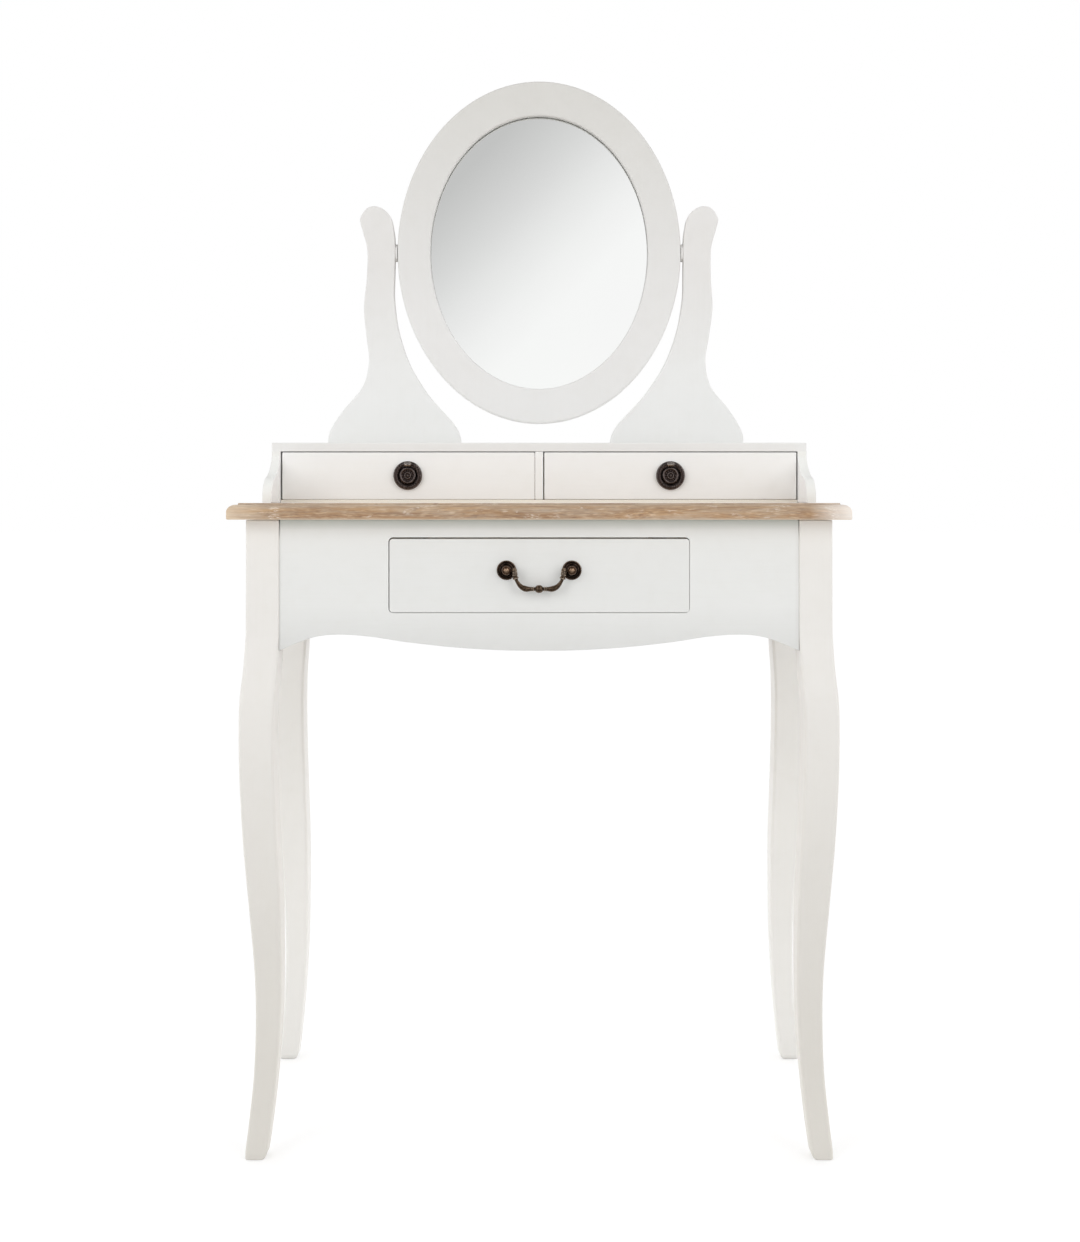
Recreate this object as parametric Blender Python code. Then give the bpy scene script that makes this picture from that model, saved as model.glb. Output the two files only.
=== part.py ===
"""Dressing table: cabriole legs, one apron drawer, a two-drawer gallery and a tilting oval mirror.

Metres, +Z up, the front faces -Y. The origin is on the floor under the middle of the tabletop.
"""

import math
from collections import namedtuple

import bmesh
import bpy
from mathutils import Matrix, Vector
from mathutils.geometry import interpolate_bezier

# Fits between pieces
SEAT_GAP = 0.0003           # between faces that touch
RUNNING_GAP = 0.0008        # above and beside a drawer box in its guides
FRONT_GAP = 0.0015          # around the centre drawer's front
SMALL_FRONT_GAP = 0.0012    # around the small drawers' fronts
CUT_OVERRUN = 0.002         # how far a cutter runs past the face it opens
MERGE_DISTANCE = 0.000003   # between points that are one

# The table as a whole
TABLE_WIDTH = 0.750
TABLE_DEPTH = 0.400
TABLE_HEIGHT = 0.795
TOP_THICKNESS = 0.020
SIDE_OVERHANG = 0.020       # tabletop past the front legs' outer faces
FRONT_OVERHANG = 0.020      # tabletop past the front legs' front faces
BACK_OVERHANG = 0.012       # tabletop past the back legs' back faces
BACK_LEG_SPREAD = 0.0145    # how much further out the back legs stand, on each side

# Moulded edge of the tabletop
TOP_EDGE_UPRIGHT = 0.009    # upright face under the quarter round
TOP_EDGE_DEPTH = 0.012      # from the upright face in to the small step
TOP_EDGE_STEP = 0.002       # step between the quarter round and the top surface
TOP_EDGE_SOFTENING = 0.0010
TOP_EDGE_TURNS = 5

# Cabriole legs, each a square post whose lower part curves outward and inward both ways
LEG_BLOCK = 0.040
LEG_BLOCK_HEIGHT = 0.134
LEG_BLOCK_ARRIS = 0.0015
LEG_ROUNDING = 0.0045
LEG_FOOT_SOFTENING = 0.0015
KNEE_REACH = 0.008
LEG_CORNER_STEPS = 2
LEG_RINGS_PER_STATION = 2
LEG_ROUNDING_BLEND_SHARE = 0.06
# Height up the curved part, outward shift against the knee's reach, width against the block
LEG_STATION_SHARES = (
    (0.000, 0.15, 0.575),
    (0.008, 0.13, 0.640),
    (0.020, 0.08, 0.675),
    (0.075, -0.40, 0.690),
    (0.160, -1.00, 0.705),
    (0.264, -1.21, 0.770),
    (0.360, -1.00, 0.840),
    (0.490, -0.21, 0.980),
    (0.600, 0.45, 1.035),
    (0.717, 0.89, 1.055),
    (0.800, 1.00, 1.060),
    (0.865, 0.90, 1.065),
    (0.925, 0.44, 1.050),
    (1.000, 0.00, 1.000),
)

# Aprons between the legs
APRON_THICKNESS = 0.016
APRON_HEIGHT = 0.159
APRON_RECESS = 0.0025       # behind the legs' outer faces
APRON_RISE = 0.0195         # how far the shaped lower edge rises beside the legs
APRON_ARRIS = 0.0008
BACK_APRON_HEIGHT = 0.135
OUTLINE_STEPS = 2
# Along half the apron from its middle, and up its rise
APRON_EDGE_SHARES = (
    (0.00, 0.00),
    (0.15, 0.03),
    (0.33, 0.21),
    (0.515, 0.54),
    (0.65, 0.87),
    (0.77, 1.00),
    (0.86, 0.86),
    (0.94, 0.42),
    (1.00, 0.00),
)

# Blocks across the corners, and the bolts that pull the legs to them
CORNER_BLOCK_HEIGHT = 0.060
CORNER_BLOCK_DROP = 0.020   # below the tabletop
CORNER_BLOCK_NEAR = 0.051   # from the aprons' inner corner to the block's outer face, along an apron
CORNER_BLOCK_FAR = 0.081    # the same to its inner face
BOLT_RADIUS = 0.003
BOLT_DEPTH = 0.022          # into the leg
BOLT_TAIL = 0.004           # past the nut
NUT_RADIUS = 0.0058
NUT_HEIGHT = 0.005
BOLT_SIDES = 10
NUT_SIDES = 6

# Centre drawer, its front flush with the front apron
DRAWER_FRONT_WIDTH = 0.362
DRAWER_FRONT_HEIGHT = 0.0885
DRAWER_FRONT_TOP = 0.0232   # under the tabletop's underside
DRAWER_FRONT_ARRIS = 0.0012
DRAWER_FRONT_CORNER = 0.004  # radius of the front's corners and of the opening's
DRAWER_BOX_INSET = 0.006    # box side behind the end of the front
DRAWER_BOX_LIFT = 0.0010    # box above the lower edge of the apron's opening
DRAWER_BOX_HEIGHT = 0.078
DRAWER_REAR_SPACE = 0.040   # from the box's back to the back apron
DRAWER_SIDE = 0.012

# Small drawers in the gallery
SMALL_FRONT_THICKNESS = 0.014
SMALL_REAR_SPACE = 0.030    # from the box's back to the gallery's back panel
SMALL_SIDE = 0.010
SMALL_BOX_INSET = 0.0005
SMALL_FRONT_ARRIS = 0.0010
FRONT_ARRIS_SEGMENTS = 2
FRONT_CORNER_STEPS = 4

# Drawer bottoms in their grooves
BOTTOM_THICKNESS = 0.004
BOTTOM_LIFT = 0.006         # above the lower edge of the box
GROOVE_DEPTH = 0.005

# Runners under the centre drawer and kicker rails over it
RUNNER_LEDGE = 0.018        # width of the ledge under the drawer side
RUNNER_LEDGE_THICKNESS = 0.012
RUNNER_GUIDE = 0.016        # thickness of the upright that guides the drawer side
RUNNER_GUIDE_HEIGHT = 0.034
KICKER_WIDTH = 0.026
KICKER_SCREW_INSET = 0.070  # from the kicker's ends

# Countersunk holes for wood screws
SCREW_RADIUS = 0.002
SCREW_HEAD_RADIUS = 0.004
SCREW_HEAD_HEIGHT = 0.0028
SCREW_SIDES = 10
KICKER_SCREW_BITE = 0.012   # into the tabletop
SUPPORT_SCREW_BITE = 0.024  # into the mirror support

# Gallery: the low cabinet on the tabletop
GALLERY_SIDE_INSET = 0.029  # inside the tabletop's ends
GALLERY_HEIGHT = 0.078
GALLERY_DEPTH = 0.240
GALLERY_BACK_INSET = 0.008  # in front of the tabletop's back edge
GALLERY_SIDE = 0.0115
GALLERY_TOP = 0.0113
GALLERY_BOTTOM = 0.004
GALLERY_DIVIDER = 0.0105
GALLERY_BACK = 0.005
GALLERY_ARRIS = 0.0008
WING_REACH = 0.071
WING_HEIGHT = 0.060
# Forward from the gallery's face, and up the wing
WING_EDGE_SHARES = (
    (1.00, 0.00),
    (0.97, 0.21),
    (0.88, 0.39),
    (0.72, 0.51),
    (0.50, 0.575),
    (0.25, 0.71),
    (0.08, 0.88),
    (0.00, 1.00),
)

# Mirror
MIRROR_HALF_WIDTH = 0.1933
MIRROR_HALF_HEIGHT = 0.2335
MIRROR_BAND_WIDTH = 0.0450  # of the frame beside the glass
MIRROR_BAND_HEIGHT = 0.0473  # of the frame above and below it
MIRROR_FOOT_GAP = 0.0305    # from the gallery's top up to the frame
FRAME_THICKNESS = 0.018
FRAME_LIP = 0.007           # in front of the glass
FRAME_REBATE = 0.008        # overlap of frame and glass
FRAME_INNER_BEVEL = 0.003
FRAME_OUTER_ROUND = 0.003
FRAME_BACK_SOFTENING = 0.0015
GLASS_THICKNESS = 0.004
OVAL_STEPS = 56

# Mirror supports
SUPPORT_THICKNESS = 0.018
SUPPORT_WIDTH = 0.183
SUPPORT_HEIGHT = 0.3265
SUPPORT_ARRIS = 0.0015
SUPPORT_SCREW_INSET = 0.040  # from the foot's ends
# From the foot's inner end outward, and up the support
SUPPORT_EDGE_SHARES = (
    (1.000, 0.000),
    (0.980, 0.062),
    (0.876, 0.153),
    (0.740, 0.245),
    (0.692, 0.350),
    (0.712, 0.462),
    (0.729, 0.580),
    (0.708, 0.700),
    (0.704, 0.817),
    (0.740, 0.900),
    (0.757, 0.950),
    (0.697, 0.996),
    (0.608, 0.996),
    (0.533, 0.959),
    (0.507, 0.900),
    (0.498, 0.846),
    (0.498, 0.770),
    (0.502, 0.690),
    (0.502, 0.610),
    (0.470, 0.479),
    (0.388, 0.341),
    (0.258, 0.220),
    (0.157, 0.153),
    (0.067, 0.097),
    (0.018, 0.050),
    (0.000, 0.000),
)

# Pivots of the mirror: turned pins with a collar between support and frame
PIVOT_EDGE_SHARE = 0.498    # where the pivot meets the support, across its foot's width
PIVOT_RADIUS = 0.003
PIVOT_COLLAR_RADIUS = 0.007
PIVOT_COLLAR_LENGTH = 0.0029
PIVOT_IN_SUPPORT = 0.018
PIVOT_IN_FRAME = 0.014
PIVOT_SIDES = 16

# Bail handle of the centre drawer
BAIL_SPACING = 0.0792       # between the posts
BAIL_RISE = 0.006           # posts above the middle of the drawer front
BAIL_PLATE_RADIUS = 0.01175
BAIL_PLATE_HEIGHT = 0.0021
BAIL_POST_RADIUS = 0.0040
BAIL_HEAD_RADIUS = 0.0055
BAIL_POST_HEIGHT = 0.0125
BAIL_AXIS_HEIGHT = 0.0065   # pivot above the plate
BAIL_PIN_RADIUS = 0.0014
BAIL_PIN_BITE = 0.0024      # into the post
BAIL_DROP = 0.0223
BAIL_HALF_WIDTH = 0.0298
BAIL_KNUCKLE_RADIUS = 0.0034
BAIL_THICKNESS = 0.0072
HANDLE_SCREW_BITE = 0.0038
HANDLE_SCREW_HEAD_RADIUS = 0.0038
HANDLE_SCREW_HEAD_HEIGHT = 0.0022
LATHE_SIDES = 18
BAIL_SIDES = 10
KNUCKLE_ROWS = 6
# The rosette from its rim inward: radius against the plate's, height against the plate's
BAIL_PLATE_SHARES = (
    (1.00, 0.00),
    (1.00, 0.40),
    (0.90, 0.75),
    (0.62, 1.00),
)
# The post's foot and domed head: radius against the head's, height up the post
BAIL_FOOT_SHARES = (
    (0.00, 0.00),
    (0.95, 0.00),
    (0.95, 0.07),
)
BAIL_HEAD_SHARES = (
    (1.00, 0.80),
    (0.93, 0.90),
    (0.60, 0.98),
    (0.00, 1.00),
)
BAIL_NECK_SHARES = (0.18, 0.72)     # lower and upper end of the neck, up the post
# Out from the middle, down the drop, and half thickness against the thickest half
BAIL_PATH_SHARES = (
    (0.00, 1.00, 1.34),
    (0.07, 1.00, 1.26),
    (0.135, 1.00, 0.94),
    (0.17, 1.00, 0.62),
    (0.32, 1.00, 0.68),
    (0.54, 0.99, 0.98),
    (0.74, 0.86, 0.80),
    (0.90, 0.58, 0.56),
    (0.965, 0.32, 0.62),
    (1.00, 0.05, 0.80),
)

# Ring pulls of the small drawers
PULL_RADIUS = 0.0186
PULL_PLATE_HEIGHT = 0.0016
PULL_BOSS_RADIUS = 0.0122
PULL_BOSS_HEIGHT = 0.0056
PULL_STUD_TAIL = 0.006      # threaded stud past the back of the drawer front
RING_RADIUS = 0.0152        # middle line of the ring
RING_HALF_WIDTH = 0.0025
RING_HALF_DEPTH = 0.0017
RING_BAR_HALF = 0.0055      # half length of the straight bar at the top of the ring
RING_BAR_RADIUS = 0.0014
RING_STANDOFF = 0.0004      # in front of the plate
RING_STEPS = 26
RING_SIDES = 8
RING_BLEND_SHARE = 0.12     # of the ring's run, where the bar swells to the band
CLASP_HALF_WIDTH = 0.0042
CLASP_RADIUS = 0.0027
CLASP_SIDES = 12
# The plate's rim: radius against the plate's, height against the plate's
PULL_RIM_SHARES = (
    (0.00, 0.00),
    (1.00, 0.00),
    (1.00, 0.60),
    (0.97, 1.00),
)
# Out along the boss and up it
PULL_BOSS_SHARES = (
    (1.00, 0.28),
    (0.94, 0.50),
    (0.84, 0.60),
    (0.74, 0.50),
    (0.64, 0.40),
    (0.52, 0.68),
    (0.38, 0.72),
    (0.27, 0.62),
    (0.18, 0.88),
    (0.00, 1.00),
)

# Finishes: colour, roughness, metallic
FINISHES = {
    "white_paint": ((0.80, 0.80, 0.78), 0.50, 0.0),
    "whitewashed_top": ((0.52, 0.40, 0.30), 0.60, 0.0),
    "raw_wood": ((0.62, 0.47, 0.31), 0.65, 0.0),
    "hardboard": ((0.48, 0.36, 0.25), 0.70, 0.0),
    "antique_bronze": ((0.075, 0.055, 0.045), 0.40, 1.0),
    "zinc_steel": ((0.55, 0.55, 0.56), 0.35, 1.0),
    "mirror_silver": ((0.90, 0.91, 0.92), 0.03, 1.0),
}
SHARP_ANGLE = math.radians(35)
SOFTEN_ANGLE = math.radians(30)

# Places worked out from the sizes above
TOP_UNDERSIDE = TABLE_HEIGHT - TOP_THICKNESS
LEG_TOP = TOP_UNDERSIDE - SEAT_GAP
FRONT_LEG_FACE = -TABLE_DEPTH / 2 + FRONT_OVERHANG
BACK_LEG_FACE = TABLE_DEPTH / 2 - BACK_OVERHANG
FRONT_LEG_SIDE = TABLE_WIDTH / 2 - SIDE_OVERHANG
BACK_LEG_SIDE = FRONT_LEG_SIDE + BACK_LEG_SPREAD
APRON_FACE = FRONT_LEG_FACE + APRON_RECESS
APRON_INSIDE = APRON_FACE + APRON_THICKNESS
BACK_APRON_FACE = BACK_LEG_FACE - APRON_RECESS
BACK_APRON_INSIDE = BACK_APRON_FACE - APRON_THICKNESS
SIDE_APRON_FACE = FRONT_LEG_SIDE - APRON_RECESS
SIDE_APRON_INSIDE = SIDE_APRON_FACE - APRON_THICKNESS

DRAWER_TOP = TOP_UNDERSIDE - DRAWER_FRONT_TOP
DRAWER_BOTTOM = DRAWER_TOP - DRAWER_FRONT_HEIGHT
DRAWER_BOX_BOTTOM = DRAWER_BOTTOM - FRONT_GAP + DRAWER_BOX_LIFT
DRAWER_BOX_SIDE = DRAWER_FRONT_WIDTH / 2 - DRAWER_BOX_INSET

GALLERY_REAR = TABLE_DEPTH / 2 - GALLERY_BACK_INSET
GALLERY_FACE = GALLERY_REAR - GALLERY_DEPTH
GALLERY_CEILING = TABLE_HEIGHT + GALLERY_HEIGHT - GALLERY_TOP
GALLERY_FLOOR = TABLE_HEIGHT + SEAT_GAP + GALLERY_BOTTOM
GALLERY_SIDE_OUTSIDE = TABLE_WIDTH / 2 - GALLERY_SIDE_INSET
GALLERY_SIDE_INSIDE = GALLERY_SIDE_OUTSIDE - GALLERY_SIDE
GALLERY_SURFACE = TABLE_HEIGHT + GALLERY_HEIGHT
SMALL_DRAWER_CENTRE = (GALLERY_SIDE_INSIDE + GALLERY_DIVIDER / 2) / 2
SMALL_FRONT_WIDTH = GALLERY_SIDE_INSIDE - GALLERY_DIVIDER / 2 - 2 * SMALL_FRONT_GAP

MIRROR_PLANE = (GALLERY_FACE + GALLERY_REAR) / 2
PIVOT_HEIGHT = GALLERY_SURFACE + MIRROR_FOOT_GAP + MIRROR_HALF_HEIGHT
SUPPORT_FOOT = GALLERY_SURFACE + SEAT_GAP
SUPPORT_EDGE = MIRROR_HALF_WIDTH + PIVOT_COLLAR_LENGTH + 2 * SEAT_GAP
SUPPORT_INNER_END = SUPPORT_EDGE - PIVOT_EDGE_SHARE * SUPPORT_WIDTH

Pivot = namedtuple("Pivot", "empty place")


def clear_scene():
    for obj in list(bpy.data.objects):
        bpy.data.objects.remove(obj)


def make_finishes():
    """One Principled material for each finish, by its name."""
    made = {}
    for name, (colour, roughness, metallic) in FINISHES.items():
        material = bpy.data.materials.new(name)
        material.use_nodes = True
        shader = material.node_tree.nodes["Principled BSDF"]
        shader.inputs["Base Color"].default_value = (*colour, 1.0)
        shader.inputs["Roughness"].default_value = roughness
        shader.inputs["Metallic"].default_value = metallic
        made[name] = material
    return made


def add_pivot(name, place, carrier=None):
    """An empty on a joint's axis, carried by another one where joints follow each other."""
    empty = bpy.data.objects.new(name, None)
    bpy.context.scene.collection.objects.link(empty)
    empty.empty_display_size = LEG_BLOCK
    empty.location = place
    if carrier:
        hang(empty, carrier)
    return Pivot(empty, Vector(place))


def hang(obj, carrier):
    obj.parent = carrier.empty
    obj.matrix_parent_inverse = Matrix.Translation(-carrier.place)


def add_piece(name, shape, finish, pivot=None, smooth=False):
    """Make a named object of a shape in world coordinates, with its origin on its joint's axis."""
    bmesh.ops.recalc_face_normals(shape, faces=shape.faces)
    place = pivot.place if pivot else Vector()
    bmesh.ops.translate(shape, verts=shape.verts, vec=-place)
    mesh = bpy.data.meshes.new(name)
    shape.to_mesh(mesh)
    shape.free()
    mesh.materials.append(materials[finish])
    if smooth:
        mesh.shade_smooth()
        mesh.set_sharp_from_angle(angle=SHARP_ANGLE)
    obj = bpy.data.objects.new(name, mesh)
    bpy.context.scene.collection.objects.link(obj)
    obj.location = place
    if pivot:
        hang(obj, pivot)
    return obj


def combine(shape, tool, operation):
    """The exact boolean of two shapes, as a new one."""
    pair = []
    for part in (shape, tool):
        bmesh.ops.recalc_face_normals(part, faces=part.faces)
        mesh = bpy.data.meshes.new("boolean")
        part.to_mesh(mesh)
        part.free()
        obj = bpy.data.objects.new("boolean", mesh)
        bpy.context.scene.collection.objects.link(obj)
        pair.append(obj)
    modifier = pair[0].modifiers.new("Boolean", "BOOLEAN")
    modifier.operation = operation
    modifier.solver = "EXACT"
    modifier.object = pair[1]
    depsgraph = bpy.context.evaluated_depsgraph_get()
    result = bmesh.new()
    result.from_object(pair[0], depsgraph)
    for obj in pair:
        mesh = obj.data
        bpy.data.objects.remove(obj)
        bpy.data.meshes.remove(mesh)
    bmesh.ops.remove_doubles(result, verts=result.verts, dist=MERGE_DISTANCE)
    return result


def cut(shape, *tools):
    """Take tools that lie apart from each other away from a shape."""
    return combine(shape, join(tools), "DIFFERENCE")


def join(shapes):
    """Several shapes in one, as separate bodies."""
    whole = bmesh.new()
    for shape in shapes:
        mesh = bpy.data.meshes.new("join")
        shape.to_mesh(mesh)
        shape.free()
        whole.from_mesh(mesh)
        bpy.data.meshes.remove(mesh)
    return whole


def soften(shape, width, segments=1):
    """Bevel every edge that turns sharply."""
    bmesh.ops.recalc_face_normals(shape, faces=shape.faces)
    shape.normal_update()
    edges = [edge for edge in shape.edges if edge.calc_face_angle(0) > SOFTEN_ANGLE]
    bmesh.ops.bevel(shape, geom=edges, offset=width, segments=segments, profile=0.5, affect="EDGES")
    return shape


def block(low, high):
    """A box between two corners."""
    shape = bmesh.new()
    size = Vector(high) - Vector(low)
    place = Matrix.Translation((Vector(low) + Vector(high)) / 2) @ Matrix.Diagonal((*size, 1))
    bmesh.ops.create_cube(shape, size=1, matrix=place)
    return shape


def prism(outline, start, end, axis):
    """An outline of two coordinates, pulled along the third axis from start to end."""
    shape = bmesh.new()
    verts = []
    for first, second in outline:
        place = [first, second]
        place.insert(axis, start)
        verts.append(shape.verts.new(place))
    face = shape.faces.new(verts)
    pulled = bmesh.ops.extrude_face_region(shape, geom=[face])
    moved = [item for item in pulled["geom"] if isinstance(item, bmesh.types.BMVert)]
    travel = Vector()
    travel[axis] = end - start
    bmesh.ops.translate(shape, verts=moved, vec=travel)
    return shape


def loft(rings, closed=False):
    """A skin over rings of equal count, capped at both ends or closed into a loop."""
    shape = bmesh.new()
    rows = [[shape.verts.new(place) for place in ring] for ring in rings]
    pairs = list(zip(rows, rows[1:]))
    if closed:
        pairs.append((rows[-1], rows[0]))
    for lower, upper in pairs:
        for index in range(len(lower)):
            following = (index + 1) % len(lower)
            shape.faces.new((lower[index], lower[following], upper[following], upper[index]))
    if not closed:
        shape.faces.new(reversed(rows[0]))
        shape.faces.new(rows[-1])
    return shape


def lathe(profile, place, direction, sides, closed=False):
    """Turn a profile of radius and height about an axis; a closed one leaves a hole."""
    shape = bmesh.new()
    verts = [shape.verts.new((radius, 0, height)) for radius, height in profile]
    edges = [shape.edges.new(pair) for pair in zip(verts, verts[1:])]
    if closed:
        edges.append(shape.edges.new((verts[-1], verts[0])))
    bmesh.ops.spin(
        shape,
        geom=verts + edges,
        cent=(0, 0, 0),
        axis=(0, 0, 1),
        angle=math.tau,
        steps=sides,
        use_merge=True,
    )
    bmesh.ops.remove_doubles(shape, verts=shape.verts, dist=MERGE_DISTANCE)
    turn = Vector((0, 0, 1)).rotation_difference(Vector(direction)).to_matrix().to_4x4()
    bmesh.ops.transform(shape, verts=shape.verts, matrix=Matrix.Translation(place) @ turn)
    return shape


def rod(start, end, radius, sides):
    """A straight round bar between two points."""
    start = Vector(start)
    reach = Vector(end) - start
    profile = ((0, 0), (radius, 0), (radius, reach.length), (0, reach.length))
    return lathe(profile, start, reach.normalized(), sides)


def smooth_line(points, steps):
    """Points on a smooth curve through the given two or three coordinates."""
    knots = [Vector(point) for point in points]
    line = []
    for index in range(len(knots) - 1):
        start, end = knots[index], knots[index + 1]
        before = knots[max(index - 1, 0)]
        after = knots[min(index + 2, len(knots) - 1)]
        handle_out = start + (end - before) / 6
        handle_in = end - (after - start) / 6
        line += interpolate_bezier(start, handle_out, handle_in, end, steps + 1)[:-1]
    return line + [knots[-1]]


def rounded_rectangle(low, high, radius, steps):
    """A rectangle of two coordinates with rounded corners."""
    centres = (
        (high[0] - radius, high[1] - radius),
        (low[0] + radius, high[1] - radius),
        (low[0] + radius, low[1] + radius),
        (high[0] - radius, low[1] + radius),
    )
    outline = []
    for corner, (first, second) in enumerate(centres):
        for step in range(steps + 1):
            angle = (corner + step / steps) * math.pi / 2
            outline.append((first + radius * math.cos(angle), second + radius * math.sin(angle)))
    return outline


def build_tabletop():
    """The moulded top: upright edge, quarter round and a small step to the surface."""
    round_height = TOP_THICKNESS - TOP_EDGE_UPRIGHT - TOP_EDGE_STEP
    round_depth = TOP_EDGE_DEPTH - TOP_EDGE_STEP
    profile = [(TOP_EDGE_SOFTENING, 0), (0, TOP_EDGE_SOFTENING)]
    for turn in range(TOP_EDGE_TURNS + 1):
        angle = turn / TOP_EDGE_TURNS * math.pi / 2
        inset = round_depth * (1 - math.cos(angle))
        profile.append((inset, TOP_EDGE_UPRIGHT + round_height * math.sin(angle)))
    profile.append((TOP_EDGE_DEPTH, TOP_THICKNESS - TOP_EDGE_STEP))
    profile.append((TOP_EDGE_DEPTH, TOP_THICKNESS))
    rings = []
    for inset, height in profile:
        half_x = TABLE_WIDTH / 2 - inset
        half_y = TABLE_DEPTH / 2 - inset
        level = TOP_UNDERSIDE + height
        rings.append([(half_x, half_y, level), (-half_x, half_y, level),
                      (-half_x, -half_y, level), (half_x, -half_y, level)])
    holes = []
    for x, y in kicker_screw_places():
        holes.append(rod(
            (x, y, TOP_UNDERSIDE - CUT_OVERRUN),
            (x, y, TOP_UNDERSIDE + KICKER_SCREW_BITE + SEAT_GAP),
            SCREW_RADIUS + SEAT_GAP,
            SCREW_SIDES,
        ))
    add_piece("tabletop", cut(loft(rings), *holes), "whitewashed_top")


def leg_shape(side, back):
    """One cabriole leg: rings from the foot up, shifted outward and inward in both directions."""
    outer_x = BACK_LEG_SIDE if back > 0 else FRONT_LEG_SIDE
    outer_y = BACK_LEG_FACE if back > 0 else -FRONT_LEG_FACE
    curve_height = LEG_TOP - LEG_BLOCK_HEIGHT
    levels = []
    for height_share, reach_share, width_share in smooth_line(LEG_STATION_SHARES, LEG_RINGS_PER_STATION):
        blend = min(1, (1 - height_share) / LEG_ROUNDING_BLEND_SHARE)
        rounding = LEG_BLOCK_ARRIS + (LEG_ROUNDING - LEG_BLOCK_ARRIS) * blend
        levels.append((curve_height * height_share, KNEE_REACH * reach_share, LEG_BLOCK * width_share, rounding))
    foot_height, foot_shift, foot_width, foot_rounding = levels[0]
    levels[0] = (foot_height + LEG_FOOT_SOFTENING, foot_shift, foot_width, foot_rounding)
    levels.insert(0, (
        foot_height,
        foot_shift - LEG_FOOT_SOFTENING,
        foot_width - 2 * LEG_FOOT_SOFTENING,
        foot_rounding - LEG_FOOT_SOFTENING,
    ))
    levels.append((LEG_TOP, 0, LEG_BLOCK, LEG_BLOCK_ARRIS))
    rings = []
    for height, shift, width, rounding in levels:
        x_ends = sorted((side * (outer_x + shift), side * (outer_x + shift - width)))
        y_ends = sorted((back * (outer_y + shift), back * (outer_y + shift - width)))
        section = rounded_rectangle(
            (x_ends[0], y_ends[0]), (x_ends[1], y_ends[1]), rounding, LEG_CORNER_STEPS
        )
        rings.append([(x, y, height) for x, y in section])
    return loft(rings)


def corner_frames():
    """For each corner: its signs, the leg's inner corner and the corner of the aprons' inner faces."""
    for side in (-1, 1):
        for back in (-1, 1):
            leg_side = BACK_LEG_SIDE if back > 0 else FRONT_LEG_SIDE
            leg_face = BACK_LEG_FACE if back > 0 else FRONT_LEG_FACE
            leg_corner = Vector((side * (leg_side - LEG_BLOCK), leg_face - back * LEG_BLOCK, 0))
            apron_y = BACK_APRON_INSIDE if back > 0 else APRON_INSIDE
            apron_corner = Vector((side * SIDE_APRON_INSIDE, apron_y, 0))
            yield side, back, leg_corner, apron_corner


def build_legs_and_corners():
    """The four legs, the blocks across the corners and the bolts that hold the legs."""
    block_top = TOP_UNDERSIDE - CORNER_BLOCK_DROP
    level = Vector((0, 0, block_top - CORNER_BLOCK_HEIGHT / 2))
    for side, back, leg_corner, apron_corner in corner_frames():
        outward = Vector((side, back, 0)).normalized()
        spare = (apron_corner - leg_corner).to_2d()
        to_face = (CORNER_BLOCK_FAR - abs(spare.x) - abs(spare.y)) / math.sqrt(2)
        tip = leg_corner + outward * BOLT_DEPTH + level
        face = leg_corner - outward * to_face + level
        nut_start = face - outward * SEAT_GAP
        tail = nut_start - outward * (NUT_HEIGHT + BOLT_TAIL)
        hole = rod(face - outward * CUT_OVERRUN, tip + outward * SEAT_GAP, BOLT_RADIUS + SEAT_GAP, BOLT_SIDES)
        corner = f"{'back' if back > 0 else 'front'}_{'right' if side > 0 else 'left'}"
        add_piece(f"leg_{corner}", cut(leg_shape(side, back), hole.copy()), "white_paint", smooth=True)
        outline = []
        for along_x, along_y in (
            (CORNER_BLOCK_FAR, SEAT_GAP),
            (CORNER_BLOCK_NEAR, SEAT_GAP),
            (SEAT_GAP, CORNER_BLOCK_NEAR),
            (SEAT_GAP, CORNER_BLOCK_FAR),
        ):
            outline.append((apron_corner.x - side * along_x, apron_corner.y - back * along_y))
        corner_block = prism(outline, block_top - CORNER_BLOCK_HEIGHT, block_top, axis=2)
        add_piece(f"corner_block_{corner}", cut(corner_block, hole), "raw_wood")
        shank = rod(tail, tip, BOLT_RADIUS, BOLT_SIDES)
        nut = rod(nut_start, nut_start - outward * NUT_HEIGHT, NUT_RADIUS, NUT_SIDES)
        add_piece(f"leg_bolt_{corner}", combine(shank, nut, "UNION"), "zinc_steel")


def shaped_edge(half_length, middle, lower):
    """The lower edge of an apron, from its low end to its high end."""
    half = []
    for along_share, rise_share in smooth_line(APRON_EDGE_SHARES, OUTLINE_STEPS):
        half.append((half_length * along_share, lower + APRON_RISE * rise_share))
    mirrored = [(middle - along, height) for along, height in reversed(half[1:])]
    return mirrored + [(middle + along, height) for along, height in half]


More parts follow.
